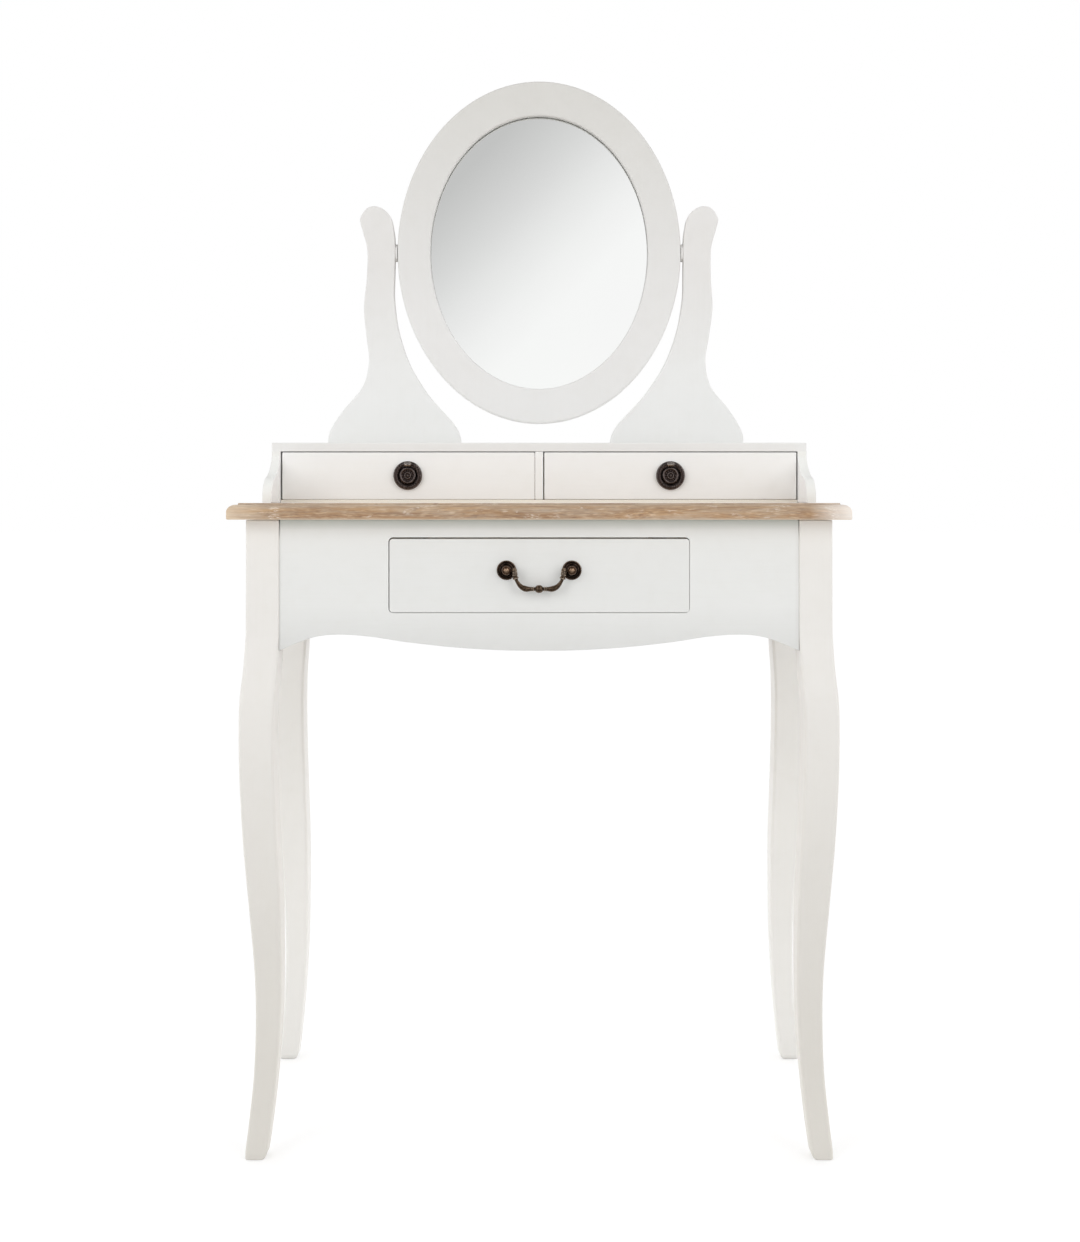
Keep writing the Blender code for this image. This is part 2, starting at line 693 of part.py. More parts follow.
def build_aprons():
    """Front apron with the drawer opening, side aprons and the plain back apron."""
    lower = TOP_UNDERSIDE - APRON_HEIGHT
    half = FRONT_LEG_SIDE - LEG_BLOCK - SEAT_GAP
    outline = shaped_edge(half, 0, lower) + [(half, LEG_TOP), (-half, LEG_TOP)]
    front = prism(outline, APRON_FACE, APRON_INSIDE, axis=1)
    opening_half = DRAWER_FRONT_WIDTH / 2 + FRONT_GAP
    opening = rounded_rectangle(
        (-opening_half, DRAWER_BOTTOM - FRONT_GAP),
        (opening_half, DRAWER_TOP + FRONT_GAP),
        DRAWER_FRONT_CORNER,
        FRONT_CORNER_STEPS,
    )
    opening = prism(opening, APRON_FACE - CUT_OVERRUN, APRON_INSIDE + CUT_OVERRUN, axis=1)
    add_piece("front_apron", soften(cut(front, opening), APRON_ARRIS), "white_paint")

    start = FRONT_LEG_FACE + LEG_BLOCK + SEAT_GAP
    end = BACK_LEG_FACE - LEG_BLOCK - SEAT_GAP
    for side, name in ((-1, "side_apron_left"), (1, "side_apron_right")):
        outline = shaped_edge((end - start) / 2, (start + end) / 2, lower) + [(end, LEG_TOP), (start, LEG_TOP)]
        apron = prism(outline, side * SIDE_APRON_INSIDE, side * SIDE_APRON_FACE, axis=0)
        add_piece(name, soften(apron, APRON_ARRIS), "white_paint")

    half = BACK_LEG_SIDE - LEG_BLOCK - SEAT_GAP
    back = block(
        (-half, BACK_APRON_INSIDE, TOP_UNDERSIDE - BACK_APRON_HEIGHT),
        (half, BACK_APRON_FACE, LEG_TOP),
    )
    add_piece("back_apron", soften(back, APRON_ARRIS), "white_paint")


def kicker_screw_places():
    """Where the kicker rails are screwed up into the tabletop."""
    middle = DRAWER_BOX_SIDE - DRAWER_SIDE / 2
    for side in (-1, 1):
        for y in (APRON_INSIDE + KICKER_SCREW_INSET, BACK_APRON_INSIDE - KICKER_SCREW_INSET):
            yield side * middle, y


def wood_screw_hole(place, length):
    """The hole for a countersunk screw that is driven upward, its head at the place."""
    slope = (SCREW_HEAD_RADIUS - SCREW_RADIUS) / SCREW_HEAD_HEIGHT
    profile = (
        (0, -CUT_OVERRUN),
        (SCREW_HEAD_RADIUS + SEAT_GAP + slope * CUT_OVERRUN, -CUT_OVERRUN),
        (SCREW_RADIUS + SEAT_GAP, SCREW_HEAD_HEIGHT),
        (SCREW_RADIUS + SEAT_GAP, length + CUT_OVERRUN),
        (0, length + CUT_OVERRUN),
    )
    return lathe(profile, place, (0, 0, 1), SCREW_SIDES)


def build_runners():
    """L-shaped runners under the drawer's sides and kicker rails above them."""
    start = APRON_INSIDE + SEAT_GAP
    end = BACK_APRON_INSIDE - SEAT_GAP
    ledge_top = DRAWER_BOX_BOTTOM - SEAT_GAP
    ledge_bottom = ledge_top - RUNNER_LEDGE_THICKNESS
    guide_inside = DRAWER_BOX_SIDE + RUNNING_GAP
    guide_outside = guide_inside + RUNNER_GUIDE
    ledge_inside = guide_inside - RUNNER_LEDGE
    kicker_bottom = DRAWER_BOX_BOTTOM + DRAWER_BOX_HEIGHT + RUNNING_GAP
    kicker_middle = DRAWER_BOX_SIDE - DRAWER_SIDE / 2
    for side, hand in ((-1, "left"), (1, "right")):
        profile = [
            (side * ledge_inside, ledge_bottom),
            (side * guide_outside, ledge_bottom),
            (side * guide_outside, ledge_bottom + RUNNER_GUIDE_HEIGHT),
            (side * guide_inside, ledge_bottom + RUNNER_GUIDE_HEIGHT),
            (side * guide_inside, ledge_top),
            (side * ledge_inside, ledge_top),
        ]
        add_piece(f"drawer_runner_{hand}", prism(profile, start, end, axis=1), "raw_wood")
        ends = sorted((side * (kicker_middle - KICKER_WIDTH / 2), side * (kicker_middle + KICKER_WIDTH / 2)))
        kicker = block((ends[0], start, kicker_bottom), (ends[1], end, LEG_TOP))
        length = TOP_UNDERSIDE - kicker_bottom + KICKER_SCREW_BITE
        places = [(x, y, kicker_bottom) for x, y in kicker_screw_places() if x * side > 0]
        kicker = cut(kicker, *[wood_screw_hole(place, length) for place in places])
        add_piece(f"drawer_kicker_{hand}", kicker, "raw_wood")


def build_drawer(prefix, pivot, panel, front, box, side_thickness, screw_places):
    """A drawer: its front's panel, two sides, back, and a bottom held in grooves.

    front and box each hold the low and the high corner of their space.
    """
    (front_low, front_high), (box_low, box_high) = front, box
    inside = (box_low[0] + side_thickness, box_high[0] - side_thickness)
    groove_bottom = box_low[2] + BOTTOM_LIFT
    groove_top = groove_bottom + BOTTOM_THICKNESS + 2 * SEAT_GAP
    groove = block(
        (inside[0] - GROOVE_DEPTH, front_high[1] - GROOVE_DEPTH, groove_bottom),
        (inside[1] + GROOVE_DEPTH, front_high[1] + CUT_OVERRUN, groove_top),
    )
    holes = [
        rod(
            (x, front_low[1] - CUT_OVERRUN, z),
            (x, front_high[1] + CUT_OVERRUN, z),
            SCREW_RADIUS + SEAT_GAP,
            SCREW_SIDES,
        )
        for x, z in screw_places
    ]
    add_piece(f"{prefix}_front", cut(panel, groove, *holes), "white_paint", pivot)

    for hand, outer, inner in (("left", box_low[0], inside[0]), ("right", box_high[0], inside[1])):
        depth = GROOVE_DEPTH if inner < outer else -GROOVE_DEPTH
        profile = [
            (inner, box_low[2]), (outer, box_low[2]), (outer, box_high[2]), (inner, box_high[2]),
            (inner, groove_top), (inner + depth, groove_top),
            (inner + depth, groove_bottom), (inner, groove_bottom),
        ]
        side = prism(profile, box_low[1], box_high[1], axis=1)
        add_piece(f"{prefix}_side_{hand}", side, "raw_wood", pivot)

    back = block(
        (inside[0] + SEAT_GAP, box_high[1] - side_thickness, groove_top),
        (inside[1] - SEAT_GAP, box_high[1], box_high[2]),
    )
    add_piece(f"{prefix}_back", back, "raw_wood", pivot)
    bottom = block(
        (inside[0] - GROOVE_DEPTH + SEAT_GAP, front_high[1] - GROOVE_DEPTH + SEAT_GAP, groove_bottom + SEAT_GAP),
        (inside[1] + GROOVE_DEPTH - SEAT_GAP, box_high[1], groove_top - SEAT_GAP),
    )
    add_piece(f"{prefix}_bottom", bottom, "hardboard", pivot)


def handle_screw(x, z, inner_face, tip):
    """A pan-head screw from inside a drawer, through its front, to the tip behind a handle."""
    head = HANDLE_SCREW_HEAD_HEIGHT
    length = head + inner_face - tip
    profile = (
        (0, 0),
        (HANDLE_SCREW_HEAD_RADIUS, 0),
        (HANDLE_SCREW_HEAD_RADIUS, head),
        (SCREW_RADIUS, head),
        (SCREW_RADIUS, length),
        (0, length),
    )
    return lathe(profile, (x, inner_face + head, z), (0, -1, 0), SCREW_SIDES)


def build_centre_drawer():
    """The apron drawer with its bail handle."""
    post_height = (DRAWER_TOP + DRAWER_BOTTOM) / 2 + BAIL_RISE
    posts = [(side * BAIL_SPACING / 2, post_height) for side in (-1, 1)]
    half = DRAWER_FRONT_WIDTH / 2
    slide = add_pivot("centre_drawer_slide", (0, APRON_FACE, (DRAWER_TOP + DRAWER_BOTTOM) / 2))
    front = ((-half, APRON_FACE, DRAWER_BOTTOM), (half, APRON_INSIDE, DRAWER_TOP))
    box_start = APRON_INSIDE + SEAT_GAP
    box_end = BACK_APRON_INSIDE - DRAWER_REAR_SPACE
    box = (
        (-DRAWER_BOX_SIDE, box_start, DRAWER_BOX_BOTTOM),
        (DRAWER_BOX_SIDE, box_end, DRAWER_BOX_BOTTOM + DRAWER_BOX_HEIGHT),
    )
    outline = rounded_rectangle(
        (-half, DRAWER_BOTTOM), (half, DRAWER_TOP), DRAWER_FRONT_CORNER, FRONT_CORNER_STEPS
    )
    panel = soften(prism(outline, APRON_FACE, APRON_INSIDE, axis=1), DRAWER_FRONT_ARRIS, FRONT_ARRIS_SEGMENTS)
    build_drawer("centre_drawer", slide, panel, front, box, DRAWER_SIDE, posts)
    build_bail_handle(slide, posts)


def build_bail_handle(slide, posts):
    """Two rosettes with domed posts, and the cast bail that swings in them."""
    plate_back = APRON_FACE - SEAT_GAP
    plate_front = plate_back - BAIL_PLATE_HEIGHT
    post_back = plate_front - SEAT_GAP
    axis_y = post_back - BAIL_AXIS_HEIGHT
    post_z = posts[0][1]
    bore = SCREW_RADIUS + SEAT_GAP
    plate_profile = [(bore, 0)]
    for out_share, up_share in BAIL_PLATE_SHARES:
        plate_profile.append((BAIL_PLATE_RADIUS * out_share, BAIL_PLATE_HEIGHT * up_share))
    plate_profile.append((bore, BAIL_PLATE_HEIGHT))
    post_profile = [(BAIL_HEAD_RADIUS * out, BAIL_POST_HEIGHT * up) for out, up in BAIL_FOOT_SHARES]
    post_profile += [(BAIL_POST_RADIUS, BAIL_POST_HEIGHT * up) for up in BAIL_NECK_SHARES]
    post_profile += [(BAIL_HEAD_RADIUS * out, BAIL_POST_HEIGHT * up) for out, up in BAIL_HEAD_SHARES]
    pin_tip = BAIL_SPACING / 2 - BAIL_POST_RADIUS + BAIL_PIN_BITE
    for x, z in posts:
        hand = "right" if x > 0 else "left"
        side = math.copysign(1, x)
        plate = lathe(plate_profile, (x, plate_back, z), (0, -1, 0), LATHE_SIDES, closed=True)
        add_piece(f"bail_plate_{hand}", plate, "antique_bronze", slide, smooth=True)
        post = lathe(post_profile, (x, post_back, z), (0, -1, 0), LATHE_SIDES)
        screw_hole = rod(
            (x, post_back + CUT_OVERRUN, z),
            (x, post_back - HANDLE_SCREW_BITE - SEAT_GAP, z),
            bore,
            SCREW_SIDES,
        )
        pin_hole = rod(
            (side * (BAIL_SPACING / 2 - BAIL_POST_RADIUS - CUT_OVERRUN), axis_y, z),
            (side * (pin_tip + SEAT_GAP), axis_y, z),
            BAIL_PIN_RADIUS + SEAT_GAP,
            BAIL_SIDES,
        )
        add_piece(f"bail_post_{hand}", cut(post, screw_hole, pin_hole), "antique_bronze", slide, smooth=True)
        screw = handle_screw(x, z, APRON_INSIDE + SEAT_GAP, post_back - HANDLE_SCREW_BITE)
        add_piece(f"bail_screw_{hand}", screw, "zinc_steel", slide)

    hinge = add_pivot("bail_hinge", (0, axis_y, post_z), slide)
    add_piece("bail_handle", bail_shape(axis_y, post_z, pin_tip), "antique_bronze", hinge, smooth=True)


def bail_shape(axis_y, post_z, pin_tip):
    """The bail: a bar that swells twice and has a ball in its middle, between two knuckles."""
    half = []
    for out_share, drop_share, thick_share in smooth_line(BAIL_PATH_SHARES, OUTLINE_STEPS):
        half.append((BAIL_HALF_WIDTH * out_share, -BAIL_DROP * drop_share, BAIL_THICKNESS / 2 * thick_share))
    path = [(-out, height, radius) for out, height, radius in reversed(half[1:])] + half
    rings = []
    for index, (out, height, radius) in enumerate(path):
        before = Vector(path[max(index - 1, 0)][:2])
        after = Vector(path[min(index + 1, len(path) - 1)][:2])
        along = (after - before).normalized()
        ring = []
        for step in range(BAIL_SIDES):
            angle = math.tau * step / BAIL_SIDES
            sideways = radius * math.cos(angle)
            ring.append((
                out - along.y * sideways,
                axis_y + radius * math.sin(angle),
                post_z + height + along.x * sideways,
            ))
        rings.append(ring)
    bail = loft(rings)
    for side in (-1, 1):
        end = (side * BAIL_HALF_WIDTH, axis_y, post_z)
        knuckle = bmesh.new()
        bmesh.ops.create_uvsphere(
            knuckle,
            u_segments=BAIL_SIDES,
            v_segments=KNUCKLE_ROWS,
            radius=BAIL_KNUCKLE_RADIUS,
            matrix=Matrix.Translation(end),
        )
        pin = rod(end, (side * pin_tip, axis_y, post_z), BAIL_PIN_RADIUS, BAIL_SIDES)
        bail = combine(bail, combine(knuckle, pin, "UNION"), "UNION")
    return bail


def build_gallery():
    """The low cabinet: shaped sides with wings, top, bottom, divider and back."""
    base = TABLE_HEIGHT + SEAT_GAP
    outline = [(GALLERY_REAR, base)]
    for reach_share, height_share in smooth_line(WING_EDGE_SHARES, OUTLINE_STEPS):
        outline.append((GALLERY_FACE - WING_REACH * reach_share, base + WING_HEIGHT * height_share))
    outline += [(GALLERY_FACE, GALLERY_CEILING - SEAT_GAP), (GALLERY_REAR, GALLERY_CEILING - SEAT_GAP)]
    for side, name in ((-1, "gallery_side_left"), (1, "gallery_side_right")):
        panel = prism(outline, side * GALLERY_SIDE_INSIDE, side * GALLERY_SIDE_OUTSIDE, axis=0)
        add_piece(name, soften(panel, GALLERY_ARRIS), "white_paint")

    inside = GALLERY_SIDE_INSIDE - SEAT_GAP
    back_front = GALLERY_REAR - GALLERY_BACK
    top = block(
        (-GALLERY_SIDE_OUTSIDE, GALLERY_FACE, GALLERY_CEILING),
        (GALLERY_SIDE_OUTSIDE, GALLERY_REAR, GALLERY_SURFACE),
    )
    length = GALLERY_TOP + SUPPORT_SCREW_BITE
    places = [(x, MIRROR_PLANE, GALLERY_CEILING) for x in support_screw_places()]
    holes = [wood_screw_hole(place, length) for place in places]
    add_piece("gallery_top", cut(soften(top, GALLERY_ARRIS), *holes), "white_paint")

    bottom = block((-inside, GALLERY_FACE, base), (inside, back_front - SEAT_GAP, GALLERY_FLOOR))
    add_piece("gallery_bottom", bottom, "white_paint")
    divider = block(
        (-GALLERY_DIVIDER / 2, GALLERY_FACE, GALLERY_FLOOR + SEAT_GAP),
        (GALLERY_DIVIDER / 2, back_front - SEAT_GAP, GALLERY_CEILING - SEAT_GAP),
    )
    add_piece("gallery_divider", soften(divider, GALLERY_ARRIS), "white_paint")
    back = block((-inside, back_front, base), (inside, GALLERY_REAR, GALLERY_CEILING - SEAT_GAP))
    add_piece("gallery_back", back, "hardboard")


def build_small_drawers():
    """The two gallery drawers, each with a ring pull."""
    low = GALLERY_FLOOR + SMALL_FRONT_GAP
    high = GALLERY_CEILING - SMALL_FRONT_GAP
    box_start = GALLERY_FACE + SMALL_FRONT_THICKNESS + SEAT_GAP
    box_end = GALLERY_REAR - GALLERY_BACK - SMALL_REAR_SPACE
    for side, hand in ((-1, "left"), (1, "right")):
        middle = side * SMALL_DRAWER_CENTRE
        half = SMALL_FRONT_WIDTH / 2
        box_half = half - SMALL_BOX_INSET
        prefix = f"{hand}_drawer"
        slide = add_pivot(f"{prefix}_slide", (middle, GALLERY_FACE, (low + high) / 2))
        front = (
            (middle - half, GALLERY_FACE, low),
            (middle + half, GALLERY_FACE + SMALL_FRONT_THICKNESS, high),
        )
        box = (
            (middle - box_half, box_start, GALLERY_FLOOR + SEAT_GAP),
            (middle + box_half, box_end, GALLERY_CEILING - RUNNING_GAP),
        )
        centre = (low + high) / 2
        panel = soften(block(*front), SMALL_FRONT_ARRIS, FRONT_ARRIS_SEGMENTS)
        build_drawer(prefix, slide, panel, front, box, SMALL_SIDE, [(middle, centre)])
        build_ring_pull(hand, slide, middle, centre)


def build_ring_pull(hand, slide, x, z):
    """A turned rosette with a clasp at its top, and the ring that swings in the clasp."""
    plate_back = GALLERY_FACE - SEAT_GAP
    ring_y = plate_back - PULL_PLATE_HEIGHT - RING_STANDOFF - RING_HALF_DEPTH
    bar_z = z + math.sqrt(RING_RADIUS ** 2 - RING_BAR_HALF ** 2)
    profile = [(PULL_RADIUS * out, PULL_PLATE_HEIGHT * up) for out, up in PULL_RIM_SHARES]
    profile += [(PULL_BOSS_RADIUS * out, PULL_BOSS_HEIGHT * up) for out, up in PULL_BOSS_SHARES]
    plate = lathe(profile, (x, plate_back, z), (0, -1, 0), LATHE_SIDES)
    clasp = rod(
        (x - CLASP_HALF_WIDTH, ring_y, bar_z),
        (x + CLASP_HALF_WIDTH, ring_y, bar_z),
        CLASP_RADIUS,
        CLASP_SIDES,
    )
    eye = rod(
        (x - CLASP_HALF_WIDTH - CUT_OVERRUN, ring_y, bar_z),
        (x + CLASP_HALF_WIDTH + CUT_OVERRUN, ring_y, bar_z),
        RING_BAR_RADIUS + SEAT_GAP,
        CLASP_SIDES,
    )
    stud_end = GALLERY_FACE + SMALL_FRONT_THICKNESS + PULL_STUD_TAIL
    stud = rod((x, plate_back - PULL_PLATE_HEIGHT, z), (x, stud_end, z), SCREW_RADIUS, SCREW_SIDES)
    plate = combine(cut(combine(plate, clasp, "UNION"), eye), stud, "UNION")
    add_piece(f"{hand}_pull_plate", plate, "antique_bronze", slide, smooth=True)
    hinge = add_pivot(f"{hand}_ring_hinge", (x, ring_y, bar_z), slide)
    add_piece(f"{hand}_pull_ring", ring_shape(x, ring_y, z), "antique_bronze", hinge, smooth=True)


def ring_shape(x, ring_y, z):
    """A round band whose top is a straight thin bar, so that it turns in its clasp."""
    bar_angle = math.asin(RING_BAR_HALF / RING_RADIUS)
    rings = []
    for step in range(RING_STEPS + 1):
        run = step / RING_STEPS
        angle = bar_angle + (math.tau - 2 * bar_angle) * run
        swell = min(1, min(run, 1 - run) / RING_BLEND_SHARE)
        half_width = RING_BAR_RADIUS + (RING_HALF_WIDTH - RING_BAR_RADIUS) * swell
        half_depth = RING_BAR_RADIUS + (RING_HALF_DEPTH - RING_BAR_RADIUS) * swell
        lean = angle
        if step == 0:
            lean = bar_angle / 2
        elif step == RING_STEPS:
            lean = -bar_angle / 2
        ring = []
        for corner in range(RING_SIDES):
            turn = math.tau * corner / RING_SIDES
            out = half_width * math.cos(turn)
            ring.append((
                x + RING_RADIUS * math.sin(angle) + out * math.sin(lean),
                ring_y + half_depth * math.sin(turn),
                z + RING_RADIUS * math.cos(angle) + out * math.cos(lean),
            ))
        rings.append(ring)
    return loft(rings, closed=True)


def oval_point(offset, turn):
    """A point on the oval that lies a distance outside the mirror's opening."""
    stretch = MIRROR_BAND_HEIGHT / MIRROR_BAND_WIDTH
    half_width = MIRROR_HALF_WIDTH - MIRROR_BAND_WIDTH + offset
    half_height = MIRROR_HALF_HEIGHT - MIRROR_BAND_HEIGHT + offset * stretch
    return Vector((half_width * math.cos(turn), 0, half_height * math.sin(turn)))


def oval_plate(offset, front, back):
    """A flat oval between two depths."""
    outline = []
    for step in range(OVAL_STEPS):
        place = oval_point(offset, math.tau * step / OVAL_STEPS)
        outline.append((place.x, PIVOT_HEIGHT + place.z))
    return prism(outline, front, back, axis=1)


def build_mirror():
    """The oval frame with its pivot bores, and the glass and back board in its rebate."""
    hinge = add_pivot("mirror_hinge", (0, MIRROR_PLANE, PIVOT_HEIGHT))
    band = MIRROR_BAND_WIDTH
    front = MIRROR_PLANE - FRAME_THICKNESS / 2
    back = MIRROR_PLANE + FRAME_THICKNESS / 2
    round_slope = FRAME_OUTER_ROUND * (1 - math.sqrt(0.5))
    profile = (
        (0, front + FRAME_INNER_BEVEL),
        (FRAME_INNER_BEVEL, front),
        (band - FRAME_OUTER_ROUND, front),
        (band - round_slope, front + round_slope),
        (band, front + FRAME_OUTER_ROUND),
        (band, back - FRAME_BACK_SOFTENING),
        (band - FRAME_BACK_SOFTENING, back),
        (FRAME_REBATE, back),
        (FRAME_REBATE, front + FRAME_LIP),
        (0, front + FRAME_LIP),
    )
    rings = []
    for step in range(OVAL_STEPS):
        turn = math.tau * step / OVAL_STEPS
        ring = []
        for offset, depth in profile:
            place = oval_point(offset, turn)
            ring.append((place.x, depth, PIVOT_HEIGHT + place.z))
        rings.append(ring)
    frame = loft(rings, closed=True)
    bores = []
    for side in (-1, 1):
        bores.append(rod(
            (side * (MIRROR_HALF_WIDTH + CUT_OVERRUN), MIRROR_PLANE, PIVOT_HEIGHT),
            (side * (MIRROR_HALF_WIDTH - PIVOT_IN_FRAME - SEAT_GAP), MIRROR_PLANE, PIVOT_HEIGHT),
            PIVOT_RADIUS + SEAT_GAP,
            PIVOT_SIDES,
        ))
    add_piece("mirror_frame", cut(frame, *bores), "white_paint", hinge, smooth=True)

    glass_front = front + FRAME_LIP + SEAT_GAP
    glass_back = glass_front + GLASS_THICKNESS
    fit = FRAME_REBATE - SEAT_GAP
    add_piece("mirror_glass", oval_plate(fit, glass_front, glass_back), "mirror_silver", hinge)
    add_piece("mirror_back_board", oval_plate(fit, glass_back + SEAT_GAP, back), "hardboard", hinge)


def support_screw_places():
    """Where screws come up through the gallery's top into the supports' feet."""
    for side in (-1, 1):
        for inset in (SUPPORT_SCREW_INSET, SUPPORT_WIDTH - SUPPORT_SCREW_INSET):
            yield side * (SUPPORT_INNER_END + inset)


def build_supports():
    """The two scrolled supports that carry the mirror between them, and its pivot pins."""
    front = MIRROR_PLANE - SUPPORT_THICKNESS / 2
    back = MIRROR_PLANE + SUPPORT_THICKNESS / 2
    screw_top = GALLERY_SURFACE + SUPPORT_SCREW_BITE + SEAT_GAP
    frame_edge = MIRROR_HALF_WIDTH + SEAT_GAP
    for side, hand in ((-1, "left"), (1, "right")):
        outline = []
        for across_share, up_share in smooth_line(SUPPORT_EDGE_SHARES, OUTLINE_STEPS):
            across = SUPPORT_INNER_END + SUPPORT_WIDTH * across_share
            outline.append((side * across, SUPPORT_FOOT + SUPPORT_HEIGHT * up_share))
        board = soften(prism(outline, front, back, axis=1), SUPPORT_ARRIS)
        holes = [
            rod(
                (x, MIRROR_PLANE, GALLERY_SURFACE - CUT_OVERRUN),
                (x, MIRROR_PLANE, screw_top),
                SCREW_RADIUS + SEAT_GAP,
                SCREW_SIDES,
            )
            for x in support_screw_places()
            if x * side > 0
        ]
        holes.append(rod(
            (side * (SUPPORT_EDGE - CUT_OVERRUN), MIRROR_PLANE, PIVOT_HEIGHT),
            (side * (SUPPORT_EDGE + PIVOT_IN_SUPPORT + SEAT_GAP), MIRROR_PLANE, PIVOT_HEIGHT),
            PIVOT_RADIUS + SEAT_GAP,
            PIVOT_SIDES,
        ))
        add_piece(f"mirror_support_{hand}", cut(board, *holes), "white_paint")
        collar_start = PIVOT_IN_FRAME + SEAT_GAP
        collar_end = collar_start + PIVOT_COLLAR_LENGTH
        pin_end = collar_end + SEAT_GAP + PIVOT_IN_SUPPORT
        profile = (
            (0, 0),
            (PIVOT_RADIUS, 0),
            (PIVOT_RADIUS, collar_start),
            (PIVOT_COLLAR_RADIUS, collar_start),
            (PIVOT_COLLAR_RADIUS, collar_end),
            (PIVOT_RADIUS, collar_end),
            (PIVOT_RADIUS, pin_end),
            (0, pin_end),
        )
        place = (side * (frame_edge - collar_start), MIRROR_PLANE, PIVOT_HEIGHT)
        pin = lathe(profile, place, (side, 0, 0), PIVOT_SIDES)
        add_piece(f"mirror_pivot_{hand}", pin, "zinc_steel", smooth=True)


clear_scene()
materials = make_finishes()
build_tabletop()
build_legs_and_corners()
build_aprons()
build_runners()
build_centre_drawer()
build_gallery()
build_small_drawers()
build_supports()
build_mirror()
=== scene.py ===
"""Looks of the dressing table: fine painted, wooden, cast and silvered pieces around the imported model.

Metres, +Z up, the front faces -Y. The origin is on the floor under the middle of the tabletop.
"""

import math

import bmesh
import bpy
from mathutils import Matrix, Vector, noise
from mathutils.geometry import interpolate_bezier


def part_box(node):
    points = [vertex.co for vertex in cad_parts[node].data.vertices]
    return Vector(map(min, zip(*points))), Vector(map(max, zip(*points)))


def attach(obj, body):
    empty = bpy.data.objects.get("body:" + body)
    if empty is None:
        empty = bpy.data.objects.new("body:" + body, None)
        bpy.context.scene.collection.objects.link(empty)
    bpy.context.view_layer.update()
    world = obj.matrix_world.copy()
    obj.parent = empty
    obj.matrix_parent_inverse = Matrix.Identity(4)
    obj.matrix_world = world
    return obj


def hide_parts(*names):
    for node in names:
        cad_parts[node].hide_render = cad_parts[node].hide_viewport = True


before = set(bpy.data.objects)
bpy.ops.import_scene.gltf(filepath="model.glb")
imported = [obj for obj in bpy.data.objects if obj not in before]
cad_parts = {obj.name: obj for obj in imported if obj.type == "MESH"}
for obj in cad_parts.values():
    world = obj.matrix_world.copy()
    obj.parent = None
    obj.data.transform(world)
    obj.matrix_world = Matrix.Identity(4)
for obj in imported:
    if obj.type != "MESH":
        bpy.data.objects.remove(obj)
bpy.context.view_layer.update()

# Camera and its frame
PICTURE_HEIGHT = 1242
FOCAL_PIXELS = 1577
SENSOR = 36.0
CAMERA_PLACE = (0.0, -2.088, 0.795)
CAMERA_SHIFT = (0.0007, -0.095)

HANDS = ((-1, "left"), (1, "right"))

# Table
TABLE_WIDTH = 0.750
TABLE_DEPTH = 0.400
TABLE_HEIGHT = 0.795
TOP_THICKNESS = 0.020
TOP_UNDERSIDE = TABLE_HEIGHT - TOP_THICKNESS
TOP_EDGE_UPRIGHT = 0.009
TOP_EDGE_DEPTH = 0.012
TOP_EDGE_STEP = 0.002
TOP_EDGE_SOFTENING = 0.0012
TOP_EDGE_TURNS = 10
TOP_EDGE_SPACING = 0.006
TOP_WEAR = 0.00045

# Legs
LEG_TOP = TOP_UNDERSIDE - 0.0003
LEG_BLOCK = 0.040
LEG_BLOCK_HEIGHT = 0.134
LEG_BLOCK_ARRIS = 0.0015
LEG_ROUNDING = 0.0045
LEG_TOP_EASING = 0.0008
LEG_TOP_GAP = 0.0004
LEG_FOOT_SOFTENING = 0.0015
LEG_ROUNDING_BLEND = 0.06
KNEE_REACH = 0.008
LEG_RINGS_PER_STATION = 7
LEG_CORNER_STEPS = 6
# Outer faces of the blocks, from the middle of the table
LEG_FACES = {"front": (0.355, 0.180), "back": (0.3695, 0.188)}
# Height up the curved part, outward shift against the knee's reach, width against the block
LEG_STATIONS = (
    (0.000, 0.15, 0.575), (0.008, 0.13, 0.640), (0.020, 0.08, 0.675), (0.075, -0.40, 0.690),
    (0.160, -1.00, 0.705), (0.264, -1.21, 0.770), (0.360, -1.00, 0.840), (0.490, -0.21, 0.980),
    (0.600, 0.45, 1.035), (0.717, 0.89, 1.055), (0.800, 1.00, 1.060), (0.865, 0.90, 1.065),
    (0.925, 0.44, 1.050), (1.000, 0.00, 1.000),
)

# Aprons
APRON_HEIGHT = 0.159
APRON_RISE = 0.0195
APRON_ARRIS = 0.0007
JOINT_ARRIS = 0.0001
JOINT_OPENING = 0.0009
JOINT_OPEN_HEIGHT = 0.026
SEAT_GAP = 0.0003
OVERRUN = 0.001
MERGE_DISTANCE = 0.000003
DRAWER_GAP = 0.0015
DRAWER_CORNER = 0.004
FRONT_ARRIS = 0.0008
SMALL_CORNER = 0.0014
# How far a drawer front's left, right, lower and upper edges reach past its even reveals
FRONT_REACH = {
    "centre_drawer": (0.0005, 0.0011, 0.0010, -0.0002),
    "left_drawer": (-0.0009, 0.0007, 0.0009, 0.0),
    "right_drawer": (-0.0003, -0.0005, 0.0008, 0.0),
}
# Along half the apron from its middle, and up its rise
APRON_EDGE = (
    (0.00, 0.00), (0.15, 0.03), (0.33, 0.21), (0.515, 0.54), (0.65, 0.87), (0.77, 1.00), (0.86, 0.86),
    (0.94, 0.42), (1.00, 0.00),
)

# Gallery's sides, forward from the gallery's face and up the wing
GALLERY_FACE = -0.048
WING_REACH = 0.071
WING_HEIGHT = 0.060
WING_ARRIS = 0.0012
WING_TIGHT_SHARE = 0.94
GALLERY_TOP_ARRIS = 0.0011
GALLERY_TIGHT_ARRIS = 0.0001
WING_EDGE = (
    (1.00, 0.00), (0.97, 0.21), (0.88, 0.39), (0.72, 0.51), (0.50, 0.575), (0.25, 0.71), (0.08, 0.88),
    (0.00, 1.00),
)

